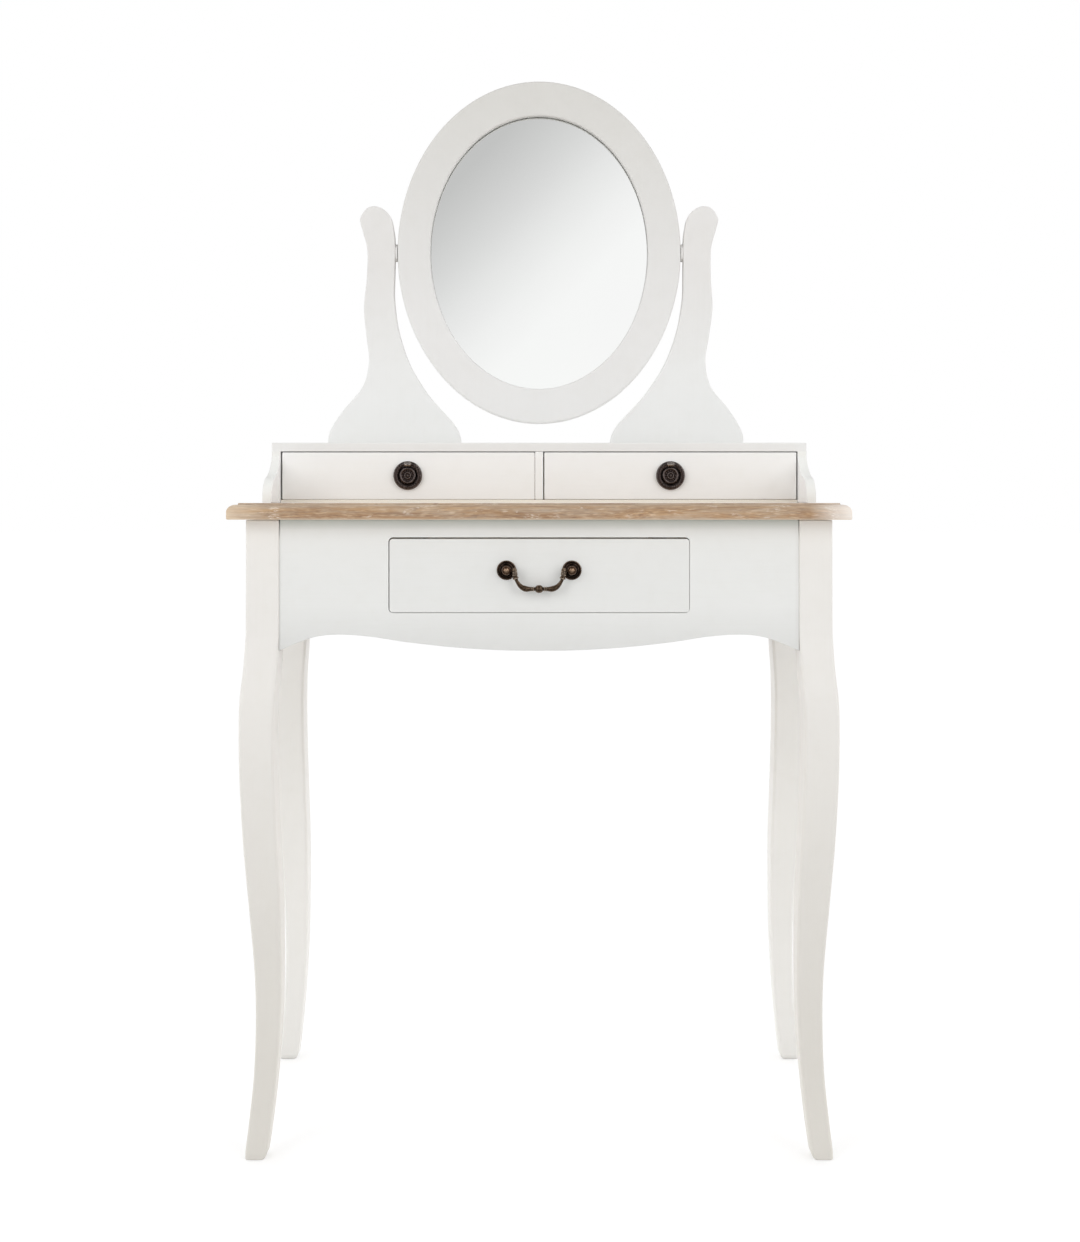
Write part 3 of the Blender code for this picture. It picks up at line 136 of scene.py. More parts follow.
# Mirror
MIRROR_PLANE = 0.072
PIVOT_HEIGHT = 1.137
MIRROR_HALF_WIDTH = 0.1933
MIRROR_HALF_HEIGHT = 0.2335
MIRROR_BAND_WIDTH = 0.0450
MIRROR_BAND_HEIGHT = 0.0473
FRAME_THICKNESS = 0.018
FRAME_LIP = 0.007
FRAME_REBATE = 0.008
FRAME_INNER_BEVEL = 0.0022
FRAME_OUTER_ROUND = 0.003
FRAME_BACK_SOFTENING = 0.0015
FRAME_ROUND_STEPS = 6
GLASS_THICKNESS = 0.004
GLASS_EDGE = 0.0004
OVAL_STEPS = 180

# Washers between the mirror's frame and its supports
SPACER_HALF_DEPTH = 0.0080
SPACER_HALF_HEIGHT = 0.0120
SPACER_ENDS = (0.1937, 0.1966)
SPACER_ARRIS = 0.0003
SPACER_STEPS = 48
PIVOT_COLLAR_BORE = 0.0072

# Mirror supports, from the foot's inner end outward and up the support
SUPPORT_THICKNESS = 0.018
SUPPORT_WIDTH = 0.183
SUPPORT_HEIGHT = 0.3265
SUPPORT_INNER_END = 0.1057
SUPPORT_FOOT = 0.8733
SUPPORT_ARRIS = 0.0018
SUPPORT_SCREW_INSET = 0.040
# Below this height each support leans inward towards its foot by a share of the drop
SUPPORT_SLANT_START = 1.125
SUPPORT_SLANT = {"left": 0.0, "right": 0.038}
SUPPORT_EDGE = (
    (1.000, 0.000), (0.980, 0.062), (0.876, 0.153), (0.740, 0.245), (0.692, 0.350), (0.712, 0.462),
    (0.729, 0.580), (0.708, 0.700), (0.704, 0.817), (0.740, 0.900), (0.757, 0.950), (0.697, 0.996),
    (0.608, 0.996), (0.533, 0.959), (0.507, 0.900), (0.498, 0.846), (0.498, 0.770), (0.502, 0.690),
    (0.502, 0.610), (0.470, 0.479), (0.388, 0.341), (0.258, 0.220), (0.157, 0.153), (0.067, 0.097),
    (0.018, 0.050), (0.000, 0.000),
)
OUTLINE_STEPS = 6
ARRIS_STEPS = 4

# Bail handle
BAIL_SPACING = 0.0792
BAIL_HEIGHT = 0.71355
BAIL_AXIS_Y = -0.1867
BAIL_DROP = 0.0223
BAIL_HALF_WIDTH = 0.0298
BAIL_THICKNESS = 0.0072
BAIL_SIDES = 24
BAIL_RING_SPACING = 0.0004
# Out from the middle, down the drop, and half thickness against the thickest half
BAIL_PATH = (
    (0.00, 1.00, 1.34), (0.07, 1.00, 1.26), (0.135, 1.00, 0.94), (0.17, 1.00, 0.62), (0.32, 1.00, 0.68),
    (0.54, 0.99, 0.98), (0.74, 0.86, 0.80), (0.90, 0.58, 0.56), (0.965, 0.32, 0.62), (1.00, 0.05, 0.80),
)
# Ends of the bar's ornament, measured from its end
BAIL_RIBS_END = 0.0052
BAIL_SKIRT_END = 0.0088
BAIL_BLEND_END = 0.0098
# Height, place from the middle, and width
BAIL_COLLARS = ((0.0007, 0.0068, 0.0006), (0.0004, 0.0088, 0.0005))
# Radius and height of the turned pieces
BAIL_KNUCKLE = (
    (0, -0.0030), (0.0016, -0.0028), (0.0027, -0.0018), (0.0032, 0.0000), (0.0030, 0.0014),
    (0.0022, 0.0026), (0.0014, 0.0031), (0.0014, 0.0078), (0, 0.0078),
)
BAIL_ROSETTE = (
    (0.0024, 0.0000), (0.01175, 0.0000), (0.01175, 0.0007), (0.0113, 0.0012), (0.0105, 0.0014),
    (0.0098, 0.0010), (0.0092, 0.0009), (0.0085, 0.0014), (0.0078, 0.0018), (0.0071, 0.0014),
    (0.0066, 0.0014), (0.0060, 0.0020), (0.0055, 0.0021), (0.0024, 0.0021),
)
BAIL_POST_FOOT = [
    (0, 0), (0.0053, 0), (0.0053, 0.0006), (0.0047, 0.0011), (0.0040, 0.0019), (0.0039, 0.0034),
]
TURN_SIDES = 72
POST_HEIGHT = 0.0125
DOME_RADIUS = 0.0055
DOME_HEIGHT = 0.0044
POST_TIP = -0.1927
POST_TIP_BACK = POST_TIP + 0.0009
DOME_STEPS = 10

# Ring pulls
PULL_CENTRES = (("left", -0.169875), ("right", 0.169875))
PULL_HEIGHT = 0.8305
RING_RADIUS = 0.0152
RING_HALF_WIDTH = 0.0025
RING_HALF_DEPTH = 0.0017
RING_BAR_HALF = 0.0055
RING_BAR_RADIUS = 0.0014
RING_Y = -0.0520
RING_STEPS = 240
RING_SIDES = 16
RING_BLEND = 0.08
CLASP_HALF_WIDTH = 0.0046
CLASP_RADIUS = 0.0027
STUD_BORE = 0.0023
# Out from the middle and up from the drawer front: button, grooves and ridges to the rim
PULL_PROFILE = (
    (0.0000, 0.0054), (0.0009, 0.0053), (0.0016, 0.0047), (0.0022, 0.0036), (0.0028, 0.0037),
    (0.0036, 0.0043), (0.0044, 0.0041), (0.0051, 0.0030), (0.0059, 0.0023), (0.0068, 0.0024),
    (0.0077, 0.0032), (0.0089, 0.0038), (0.0100, 0.0035), (0.0110, 0.0026), (0.0119, 0.0018),
    (0.0130, 0.0016), (0.0172, 0.0016), (0.0178, 0.0020), (0.0183, 0.0018), (0.0186, 0.0010),
    (0.0186, 0.0003),
)
PETALS = 12
PETAL_DEPTH = 0.00035

# Studio
AMBIENT = 0.325
AMBIENT_SIDES = 1.50
AMBIENT_BEHIND = 1.32
FLOOR_GLOW = 0.345
FLOOR_SHADOW_REACH = (0.55, 1.6)
METAL_FLOOR_DIMMING = 0.75
LIGHT_SIZE = 1.1
LIGHT_TARGET = (0, 0, 0.80)
# How bright reflections see the room, 0 to 255, by the direction's X less its Z
ROOM_LEVELS = (
    (-0.55, 238), (-0.38, 215), (-0.30, 196), (-0.252, 193), (-0.228, 203),
    (-0.2, 215), (-0.1725, 228), (-0.14, 239), (-0.109, 245), (0.0, 247),
)

# Shares of a paint's colour in its lighter patches and its dimmer strokes
PAINT_LIGHT = (1.02, 1.02, 1.02, 1.0)
PAINT_DIM = (0.955, 0.95, 0.935, 1.0)

# Fasteners
SCREW_RADIUS = 0.002
SCREW_HEAD_RADIUS = 0.004
SCREW_HEAD_HEIGHT = 0.0028
SCREW_SIDES = 24
KICKER_SCREW_INSET = 0.070
KICKER_SCREW_LENGTH = 0.0440
SUPPORT_SCREW_LENGTH = 0.0345
NUT_RADIUS = 0.0040
NUT_HEIGHT = 0.0030
WASHER = ((0.0023, 0), (0.0052, 0), (0.0055, 0.0003), (0.0055, 0.0007), (0.0052, 0.0010), (0.0023, 0.0010))
CLIP_THICKNESS = 0.0012
CLIP_SCREW = (
    (0, -0.008), (0.0012, -0.0065), (0.0014, 0), (0.0030, 0), (0.0030, 0.0008), (0.0022, 0.0016), (0, 0.0020),
)
# Along the clip towards the mirror's middle, and across it
CLIP_OUTLINE = (
    (-0.0055, 0.0035), (-0.0035, 0.0055), (0.010, 0.0040), (0.013, 0.0020),
    (0.013, -0.0020), (0.010, -0.0040), (-0.0035, -0.0055), (-0.0055, -0.0035),
)


# ---------------------------------------------------------------- colours and node trees

def srgb(red, green, blue):
    """A colour given as it is seen, 0 to 255, as the linear one that shaders use."""
    linear = []
    for value in (red / 255, green / 255, blue / 255):
        linear.append(value / 12.92 if value <= 0.04045 else ((value + 0.055) / 1.055) ** 2.4)
    return (*linear, 1.0)


class Nodes:
    """Adds nodes to a tree. An input is a number, a colour, a vector or another node's output."""

    def __init__(self, tree):
        self.tree = tree
        tree.nodes.clear()

    def add(self, kind, inputs, **settings):
        node = self.tree.nodes.new("ShaderNode" + kind)
        for name, value in settings.items():
            setattr(node, name, value)
        for name, value in inputs.items():
            if isinstance(value, bpy.types.NodeSocket):
                self.tree.links.new(value, node.inputs[name])
            else:
                node.inputs[name].default_value = value
        return node

    def place(self, scale=(1, 1, 1)):
        """The place on the object at rest, in metres, stretched."""
        source = self.add("TexCoord", {}).outputs["Object"]
        return self.add("Mapping", {"Vector": source, "Scale": scale}).outputs[0]

    def axes(self):
        """The place's coordinates, one by one."""
        return self.add("SeparateXYZ", {"Vector": self.place()}).outputs

    def vector_maths(self, operation, first, second):
        return self.add("VectorMath", {0: first, 1: second}, operation=operation).outputs[0]

    def noise(self, scale, detail=4.0, roughness=0.55, distortion=0.0, vector=None):
        """Noise over the place or another vector, at one scale or at one for each axis."""
        if isinstance(scale, tuple):
            vector, scale = self.place(scale), 1.0
        elif vector is None:
            vector = self.place()
        values = {"Vector": vector, "Scale": scale, "Detail": detail}
        values.update({"Roughness": roughness, "Distortion": distortion})
        return self.add("TexNoise", values).outputs["Fac"]

    def maths(self, operation, first, second=0.0, third=0.0):
        return self.add("Math", {0: first, 1: second, 2: third}, operation=operation).outputs[0]

    def most(self, first, *others):
        """The largest of several values."""
        for other in others:
            first = self.maths("MAXIMUM", first, other)
        return first

    def between(self, value, low, high, from_value=0.0, to_value=1.0):
        """A value mapped from a range onto another, held at its ends."""
        values = {"Value": value, "From Min": low, "From Max": high, "To Min": from_value, "To Max": to_value}
        return self.add("MapRange", values, clamp=True).outputs[0]

    def mix(self, share, first, second, blend="MIX"):
        """Two colours mixed by a share of the second."""
        node = self.add("Mix", {0: share, 6: first, 7: second}, data_type="RGBA", blend_type=blend)
        return node.outputs[2]

    def tint(self, tone, colour, value, low, high, share=1.0):
        """A tone that turns to a colour, at most by a share, as a value passes from low to high."""
        return self.mix(self.between(value, low, high, 0.0, share), tone, colour)

    def principled(self, **inputs):
        names = {name.replace("_", " "): value for name, value in inputs.items()}
        shader = self.add("BsdfPrincipled", names)
        self.add("OutputMaterial", {"Surface": shader.outputs[0]})

    def surface(self, tone, gloss, roughness, height, depth, strength=0.5, metallic=0.0):
        """A tone with roughness between two values, led by a gloss pattern, and a bump."""
        bump = self.add("Bump", {"Height": height, "Distance": depth, "Strength": strength})
        rough = self.between(gloss, 0.3, 0.7, *roughness)
        self.principled(Base_Color=tone, Metallic=metallic, Roughness=rough, Normal=bump.outputs[0])


def new_material(name):
    material = bpy.data.materials.new(name)
    material.use_nodes = True
    return material, Nodes(material.node_tree)


def stretched(along, fine, coarse):
    """Scales that draw a pattern out along one axis."""
    scales = [fine, fine, fine]
    scales[along] = coarse
    return tuple(scales)


def paint(name, colour, along, painted_shading):
    """Satin paint, brushed along the board: slow patches, brush marks and the odd speck.

    Each entry of painted_shading is another colour, an axis, and the two distances from its zero between
    which the paint
    turns to that colour: painted light and shade, lighter or darker by place on the piece.
    """
    material, nodes = new_material(name)
    patches = nodes.noise(7.0, 3.0)
    mottle = nodes.noise(55.0)
    strokes = nodes.noise(stretched(along, 420.0, 14.0), 5.0, 0.6)
    bristles = nodes.noise(stretched(along, 1500.0, 40.0), 2.0)
    specks = nodes.noise(1900.0, 1.0)
    tone = srgb(*colour)
    # Painted light and shade: the paint turns lighter or darker by place
    for other, axis, start, end in painted_shading:
        distance = nodes.maths("ABSOLUTE", nodes.axes()[axis])
        tone = nodes.tint(tone, srgb(*other), distance, start, end)
    for value, low, high, share, shade in (
        (patches, 0.35, 0.68, 1.0, PAINT_LIGHT),
        (mottle, 0.48, 0.80, 0.35, PAINT_DIM),
        (strokes, 0.52, 0.85, 0.35, PAINT_DIM),
    ):
        tone = nodes.tint(tone, nodes.mix(1.0, tone, shade, "MULTIPLY"), value, low, high, share)
    height = nodes.maths("MULTIPLY_ADD", bristles, 0.35, strokes)
    height = nodes.maths("MULTIPLY_ADD", specks, 0.10, height)
    nodes.surface(tone, mottle, (0.38, 0.47), height, 0.00022, 0.45)
    return material


def whitewashed_wood():
    """Lime-washed boards: grain along the table, pale wash left in it, chips and paler front corners."""
    material, nodes = new_material("whitewashed_top")
    warp = nodes.noise((3.0, 14.0, 14.0), 2.0)
    sway = {"Y": nodes.maths("MULTIPLY", warp, 0.03), "Z": nodes.maths("MULTIPLY", warp, 0.012)}
    bent = nodes.vector_maths("ADD", nodes.place(), nodes.add("CombineXYZ", sway).outputs[0])

    def grain(fine, coarse, detail, roughness=0.55):
        scaled = nodes.vector_maths("MULTIPLY", bent, stretched(0, fine, coarse))
        return nodes.noise(1.0, detail, roughness, vector=scaled)

    bands = grain(75.0, 2.6, 3.0)
    streaks = grain(420.0, 16.0, 4.0, 0.62)
    dashes = grain(620.0, 62.0, 2.0, 0.5)
    fibres = grain(1300.0, 48.0, 3.0, 0.6)
    pores = grain(900.0, 85.0, 1.0)
    wash = nodes.noise((13.0, 110.0, 110.0), 5.0, 0.65)
    chips = nodes.noise((42.0, 190.0, 190.0), 4.0, 0.6, 0.8)
    clusters = nodes.noise((30.0, 70.0, 70.0), 1.0)
    flecks = nodes.noise((200.0, 1300.0, 1300.0), 3.0, 0.6)
    axes = nodes.axes()
    tone = srgb(161, 126, 90)
    for value, low, high, share, colour in (
        (bands, 0.36, 0.64, 1.0, (191, 152, 109)),
        # the edge's upright face turns darker and more orange towards its bottom
        (axes["Z"], 0.785, 0.778, 0.45, (168, 130, 100)),
        # painted sheen: from the moulding's upper round up over the whole top, the wood turns paler and
        # greyer
        (axes["Z"], 0.787, 0.793, 0.55, (192, 176, 160)),
        (streaks, 0.42, 0.68, 0.80, (142, 112, 88)),
        (dashes, 0.57, 0.72, 0.65, (222, 198, 170)),
        (fibres, 0.45, 0.72, 0.55, (212, 186, 154)),
        (pores, 0.62, 0.74, 0.60, (120, 95, 77)),
        (wash, 0.46, 0.74, 0.60, (202, 190, 174)),
        (chips, 0.68, 0.74, 0.70, (232, 221, 206)),
    ):
        tone = nodes.tint(tone, srgb(*colour), value, low, high, share)
    clustered = nodes.between(clusters, 0.60, 0.68)
    at_front = nodes.between(axes["Y"], -0.182, -0.193)
    for where, value, low, high, share, colour in (
        (clustered, flecks, 0.50, 0.62, 0.75, (238, 228, 214)),
        (at_front, axes["X"], -0.325, -0.375, 0.50, (250, 232, 206)),
        (at_front, axes["X"], 0.325, 0.372, 0.80, (255, 248, 240)),
    ):
        both = nodes.maths("MULTIPLY", where, nodes.between(value, low, high, 0.0, share))
        tone = nodes.mix(both, tone, srgb(*colour))
    # painted highlight: a pale band along the lower arris of the edge
    tone = nodes.tint(tone, srgb(238, 220, 196), axes["Z"], 0.7764, 0.7758, 0.70)
    height = nodes.maths("SUBTRACT", streaks, nodes.between(pores, 0.62, 0.78, 0.0, 0.9))
    height = nodes.maths("MULTIPLY_ADD", fibres, 0.5, height)
    nodes.surface(tone, wash, (0.52, 0.68), height, 0.0004)
    return material


def raw_wood(name, along):
    """Sanded softwood of the drawers and rails."""
    material, nodes = new_material(name)
    rings = nodes.noise(stretched(along, 60.0, 1.8), 2.0, 0.5, 0.6)
    lines = nodes.maths("PINGPONG", nodes.maths("MULTIPLY", rings, 7.0), 0.5)
    fibres = nodes.noise(stretched(along, 1200.0, 25.0), 3.0)
    tone = nodes.tint(srgb(208, 178, 138), srgb(226, 201, 164), lines, 0.05, 0.48)
    tone = nodes.tint(tone, srgb(190, 158, 117), fibres, 0.45, 0.75, 0.5)
    nodes.surface(tone, fibres, (0.58, 0.72), fibres, 0.0002)
    return material


def hardboard():
    """Pressed brown fibre board with a smooth face."""
    material, nodes = new_material("hardboard")
    flakes = nodes.noise(900.0, 5.0, 0.7)
    clouds = nodes.noise(16.0, 3.0)
    tone = nodes.tint(srgb(148, 112, 78), srgb(186, 150, 111), flakes, 0.35, 0.68)
    tone = nodes.tint(tone, srgb(134, 100, 70), clouds, 0.35, 0.70, 0.35)
    nodes.surface(tone, flakes, (0.55, 0.75), flakes, 0.00015, 0.4)
    return material


def bronze(name, dark, middle, worn, low, high, tip=None):
    """Antiqued casting: dark patina in the recesses, metal rubbed bright on the ridges.

    The last argument is a colour and the two places on Y, back and front, between which a knob's front turns
    to it: a painted highlight.
    """
    material, nodes = new_material(name)
    shape = nodes.add("NewGeometry", {}).outputs["Pointiness"]
    patina = nodes.noise(380.0, 4.0, 0.65)
    grit = nodes.noise(2600.0, 2.0)
    rubbed = nodes.maths("MULTIPLY_ADD", nodes.maths("SUBTRACT", patina, 0.5), 0.05, shape)
    halfway = (low + high) / 2
    tone = nodes.tint(srgb(*dark), srgb(*middle), rubbed, low, halfway)
    tone = nodes.tint(tone, srgb(*worn), rubbed, halfway, high)
    # Painted highlight on the front of a knob
    if tip:
        colour, back, front = tip
        tone = nodes.tint(tone, srgb(*colour), nodes.axes()["Y"], back, front)
    height = nodes.maths("MULTIPLY_ADD", grit, 0.4, patina)
    nodes.surface(tone, patina, (0.20, 0.34), height, 0.00012, metallic=1.0)
    return material


def plated(name, dull, bright):
    """Plated steel with a faint brushed grain."""
    material, nodes = new_material(name)
    clouds = nodes.noise(240.0)
    scratches = nodes.noise((900.0, 120.0, 900.0), 2.0)
    tone = nodes.tint(srgb(*dull), srgb(*bright), clouds, 0.3, 0.7)
    nodes.surface(tone, scratches, (0.24, 0.40), scratches, 0.00005, 0.4, metallic=1.0)
    return material


def clear_glass():
    """The clear front of the mirror, a little green in its depth."""
    material, nodes = new_material("mirror_clear_glass")
    tone = nodes.mix(nodes.noise(6.0, 2.0), srgb(254, 254, 254), srgb(253, 255, 254))
    nodes.principled(Base_Color=tone, Roughness=0.0, IOR=1.15, Transmission_Weight=1.0)
    return material


def silvered_glass():
    """The silvered back of the mirror, with a breath of haze."""
    material, nodes = new_material("mirror_silver")
    haze = nodes.noise(6.0, 2.0)
    tone = nodes.mix(haze, srgb(250, 250, 250), srgb(253, 253, 252))
    nodes.principled(Base_Color=tone, Metallic=1.0, Roughness=nodes.between(haze, 0.3, 0.7, 0.004, 0.012))
    return material


# ---------------------------------------------------------------- shapes

def make_mesh(name, shape):
    """A mesh of a shape, which is used up."""
    mesh = bpy.data.meshes.new(name)
    shape.to_mesh(mesh)
    shape.free()
    return mesh


def make_object(name, data):
    """A new object in the scene."""
    obj = bpy.data.objects.new(name, data)
    bpy.context.scene.collection.objects.link(obj)
    return obj


def join(shapes):
    """Several shapes in one."""
    whole = bmesh.new()
    for shape in shapes:
        mesh = make_mesh("join", shape)
        whole.from_mesh(mesh)
        bpy.data.meshes.remove(mesh)
    return whole


def full_turn(steps):
    """Even angles round a circle."""
    return [math.tau * step / steps for step in range(steps)]


def quarter(steps):
    """A quarter round of radius 1 from face to face: how far from its start, and how far from its end."""
    angles = [step / steps * math.pi / 2 for step in range(steps + 1)]
    return [(1 - math.cos(angle), 1 - math.sin(angle)) for angle in angles]


def smooth_line(points, steps):
    """Points on a smooth curve through the given two or three coordinates."""
    knots = [Vector(point) for point in points]
    line = []
    for index, (start, end) in enumerate(zip(knots, knots[1:])):
        before = knots[max(index - 1, 0)]
        after = knots[min(index + 2, len(knots) - 1)]
        handle_out = start + (end - before) / 6
        handle_in = end - (after - start) / 6
        line += interpolate_bezier(start, handle_out, handle_in, end, steps + 1)[:-1]
    return line + [knots[-1]]


def smooth_profile(profile, steps):
    """A smooth curve of radius and height that never crosses the axis."""
    return [(max(0.0, point.x), point.y) for point in smooth_line(profile, steps)]


def loft(rings, closed=False):
    """A skin over rings of equal count, capped at both ends or closed into a loop."""
    shape = bmesh.new()
    rows = [[shape.verts.new(place) for place in ring] for ring in rings]
    pairs = list(zip(rows, rows[1:]))
    if closed:
        pairs.append((rows[-1], rows[0]))
    for lower, upper in pairs:
        for index in range(len(lower)):
            following = (index + 1) % len(lower)
            shape.faces.new((lower[index], lower[following], upper[following], upper[index]))
    if not closed:
        shape.faces.new(reversed(rows[0]))
        shape.faces.new(rows[-1])
    return shape


def aim(shape, place, direction):
    """A shape that stands upright on the origin, turned to a direction and moved to a place."""
    turn = Vector((0, 0, 1)).rotation_difference(Vector(direction)).to_matrix().to_4x4()
    bmesh.ops.transform(shape, verts=shape.verts, matrix=Matrix.Translation(place) @ turn)
    return shape


def turned(profile, place, direction, sides, ripple=None):
    """A profile of radius and height turned about an axis; ripple(angle, radius) adds to the height."""
    shape = bmesh.new()
    rows = []
    for radius, height in profile:
        row = []
        for angle in full_turn(sides if radius else 1):
            lift = ripple(angle, radius) if ripple and radius else 0
            row.append(shape.verts.new((radius * math.cos(angle), radius * math.sin(angle), height + lift)))
        rows.append(row)
    for lower, upper in zip(rows, rows[1:]):
        for index in range(sides):
            around = ((lower, index), (lower, index + 1), (upper, index + 1), (upper, index))
            corners = list(dict.fromkeys(row[step % len(row)] for row, step in around))
            if len(corners) > 2:
                shape.faces.new(corners)
    for row in (rows[0], rows[-1]):
        if len(row) > 1:
            shape.faces.new(row)
    return aim(shape, place, direction)


def inset(outline, distance):
    """An outline moved inward everywhere by a distance."""
    count = len(outline)
    points = [Vector(point[:2]) for point in outline]
    area = sum(points[index - 1].cross(points[index]) for index in range(count))
    inward = math.copysign(1, area)
    moved = []
    for index, point in enumerate(points):
        before = (point - points[index - 1]).normalized()
        after = (points[(index + 1) % count] - point).normalized()
        first = Vector((-before.y, before.x))
        second = Vector((-after.y, after.x))
        moved.append(point + (first + second) * inward * distance / (1 + first.dot(second)))
    return moved


def layered(outline, levels, axis):
    """A solid whose outline lies a distance further in at each place along the third axis."""
    rings = []
    for place, distance in levels:
        ring = []
        for point in inset(outline, distance):
            corner = [point.x, point.y]
            corner.insert(axis, place)
            ring.append(corner)
        rings.append(ring)
    return loft(rings)


def prism(outline, start, end, axis):
    """An outline of two coordinates pulled along the third axis."""
    return layered(outline, ((start, 0), (end, 0)), axis)


def rounded_board(outline, start, end, axis, arris):
    """A board of that outline between two places on an axis, with rounded edges on both faces."""
    near = [(start + arris * deep, arris * inward) for deep, inward in quarter(ARRIS_STEPS)]
    far = [(start + end - place, distance) for place, distance in reversed(near)]
    return layered(outline, near + far, axis)


def rounded_rectangle(low, high, radius, steps):
    """The corners of a rectangle in two coordinates, rounded."""
    left, right = low[0] + radius, high[0] - radius
    lower, upper = low[1] + radius, high[1] - radius
    outline = []
    for corner, (x, y) in enumerate(((right, upper), (left, upper), (left, lower), (right, lower))):
        for step in range(steps + 1):
            angle = (corner + step / steps) * math.pi / 2
            outline.append((x + radius * math.cos(angle), y + radius * math.sin(angle)))
    return outline


def add_piece(name, shape, material, body, stands_for=(), sharp=35):
    """A named piece of a shape in world coordinates, on a body and in the place of CAD nodes."""
    bmesh.ops.recalc_face_normals(shape, faces=shape.faces)
    mesh = make_mesh(name, shape)
    mesh.materials.append(material)
    mesh.shade_smooth()
    mesh.set_sharp_from_angle(angle=math.radians(sharp))
    obj = make_object(name, mesh)
    obj.modifiers.new("Even shading", "WEIGHTED_NORMAL").keep_sharp = True
    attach(obj, body)
    if stands_for:
        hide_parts(*stands_for)
    return obj


# ---------------------------------------------------------------- pieces

def build_tabletop(material):
    """The moulded top, its arrises a little worn."""
    shoulder = TOP_THICKNESS - TOP_EDGE_STEP
    round_height = TOP_THICKNESS - TOP_EDGE_UPRIGHT - TOP_EDGE_STEP
    # Inset from the edge, height, and how much wear the place gets
    profile = [
        (TOP_EDGE_SOFTENING, 0, 0.3),
        (TOP_EDGE_SOFTENING * 0.3, TOP_EDGE_SOFTENING * 0.3, 1.0),
        (0, TOP_EDGE_SOFTENING, 0.8),
        (0, TOP_EDGE_UPRIGHT * 0.5, 0.25),
    ]
    for turn, (inward, below) in enumerate(quarter(TOP_EDGE_TURNS)):
        height = TOP_EDGE_UPRIGHT + round_height * (1 - below)
        profile.append(((TOP_EDGE_DEPTH - TOP_EDGE_STEP) * inward, height, 0.8 if turn < 2 else 0.25))
    profile += [
        (TOP_EDGE_DEPTH - 0.0004, shoulder, 0.3),
        (TOP_EDGE_DEPTH, shoulder + 0.0004, 0.4),
        (TOP_EDGE_DEPTH, TOP_THICKNESS - 0.0006, 1.0),
        (TOP_EDGE_DEPTH + 0.0006, TOP_THICKNESS, 0.8),
    ]
    rings = []
    for place, height, wear in profile:
        half_x, half_y = TABLE_WIDTH / 2 - place, TABLE_DEPTH / 2 - place
        corners = [(half_x, half_y), (-half_x, half_y), (-half_x, -half_y), (half_x, -half_y)]
        ring = []
        for index, (start_x, start_y) in enumerate(corners):
            end_x, end_y = corners[(index + 1) % 4]
            count = round((TABLE_DEPTH if index % 2 else TABLE_WIDTH) / TOP_EDGE_SPACING)
            for step in range(count):
                x = start_x + (end_x - start_x) * step / count
                y = start_y + (end_y - start_y) * step / count
                rough = noise.noise(Vector((x * 55, y * 55, height * 300))) * 0.5 + 0.5
                nick = max(0, noise.noise(Vector((x * 150, y * 150, height * 90 + 7))) - 0.28) * 2.2
                worn = 2 * TOP_WEAR * wear * (rough * 0.6 + nick)
                x, y = x * (1 - worn / TABLE_WIDTH), y * (1 - worn / TABLE_DEPTH)
                ring.append((x, y, TOP_UNDERSIDE + height))
        rings.append(ring)
    add_piece("tabletop_moulded", loft(rings), material, "table", ["tabletop"], 50)


def build_leg(side, hand, back, end, material):
    """One cabriole leg: rounded squares from the foot up, shifted outward and inward both ways."""
    curve_height = LEG_TOP - LEG_BLOCK_HEIGHT
    levels = []
    for height, reach, width in smooth_line(LEG_STATIONS, LEG_RINGS_PER_STATION):
        blend = min(1, (1 - height) / LEG_ROUNDING_BLEND)
        rounding = LEG_BLOCK_ARRIS + (LEG_ROUNDING - LEG_BLOCK_ARRIS) * blend
        levels.append((curve_height * height, KNEE_REACH * reach, LEG_BLOCK * width, rounding))
    _, shift, width, rounding = levels[0]
    softened = []
    for lift, share in quarter(ARRIS_STEPS)[:-1]:
        inward = LEG_FOOT_SOFTENING * share
        softened.append((LEG_FOOT_SOFTENING * lift, shift - inward, width - 2 * inward, rounding - inward))
    levels = softened + [level for level in levels if level[0] > LEG_FOOT_SOFTENING]
    upper = LEG_TOP - LEG_TOP_GAP
    levels[-1] = (upper - LEG_TOP_EASING, 0, LEG_BLOCK, LEG_BLOCK_ARRIS)
    levels.append((upper, -LEG_TOP_EASING, LEG_BLOCK - 2 * LEG_TOP_EASING, LEG_BLOCK_ARRIS * 0.4))
    outer_x, outer_y = LEG_FACES[end]
    rings = []
    for height, shift, width, rounding in levels:
        x_ends = sorted((side * (outer_x + shift), side * (outer_x + shift - width)))
        y_ends = sorted((back * (outer_y + shift), back * (outer_y + shift - width)))
        outline = rounded_rectangle(*zip(x_ends, y_ends), rounding, LEG_CORNER_STEPS)
        rings.append([(x, y, height) for x, y in outline])
    name = f"leg_{end}_{hand}"
    add_piece(f"{name}_cabriole", loft(rings), material, "table", [name])


def shaped_edge(half_length, middle, lower):
    """The lower edge of an apron from end to end, its sharp tips kept clear of short steps."""
    line = smooth_line(APRON_EDGE, OUTLINE_STEPS)
    half = [(half_length * along, lower + APRON_RISE * rise) for along, rise in line[:-2] + line[-1:]]
    mirrored = [(middle - along, height) for along, height in reversed(half[1:])]
    return mirrored + [(middle + along, height) for along, height in half]


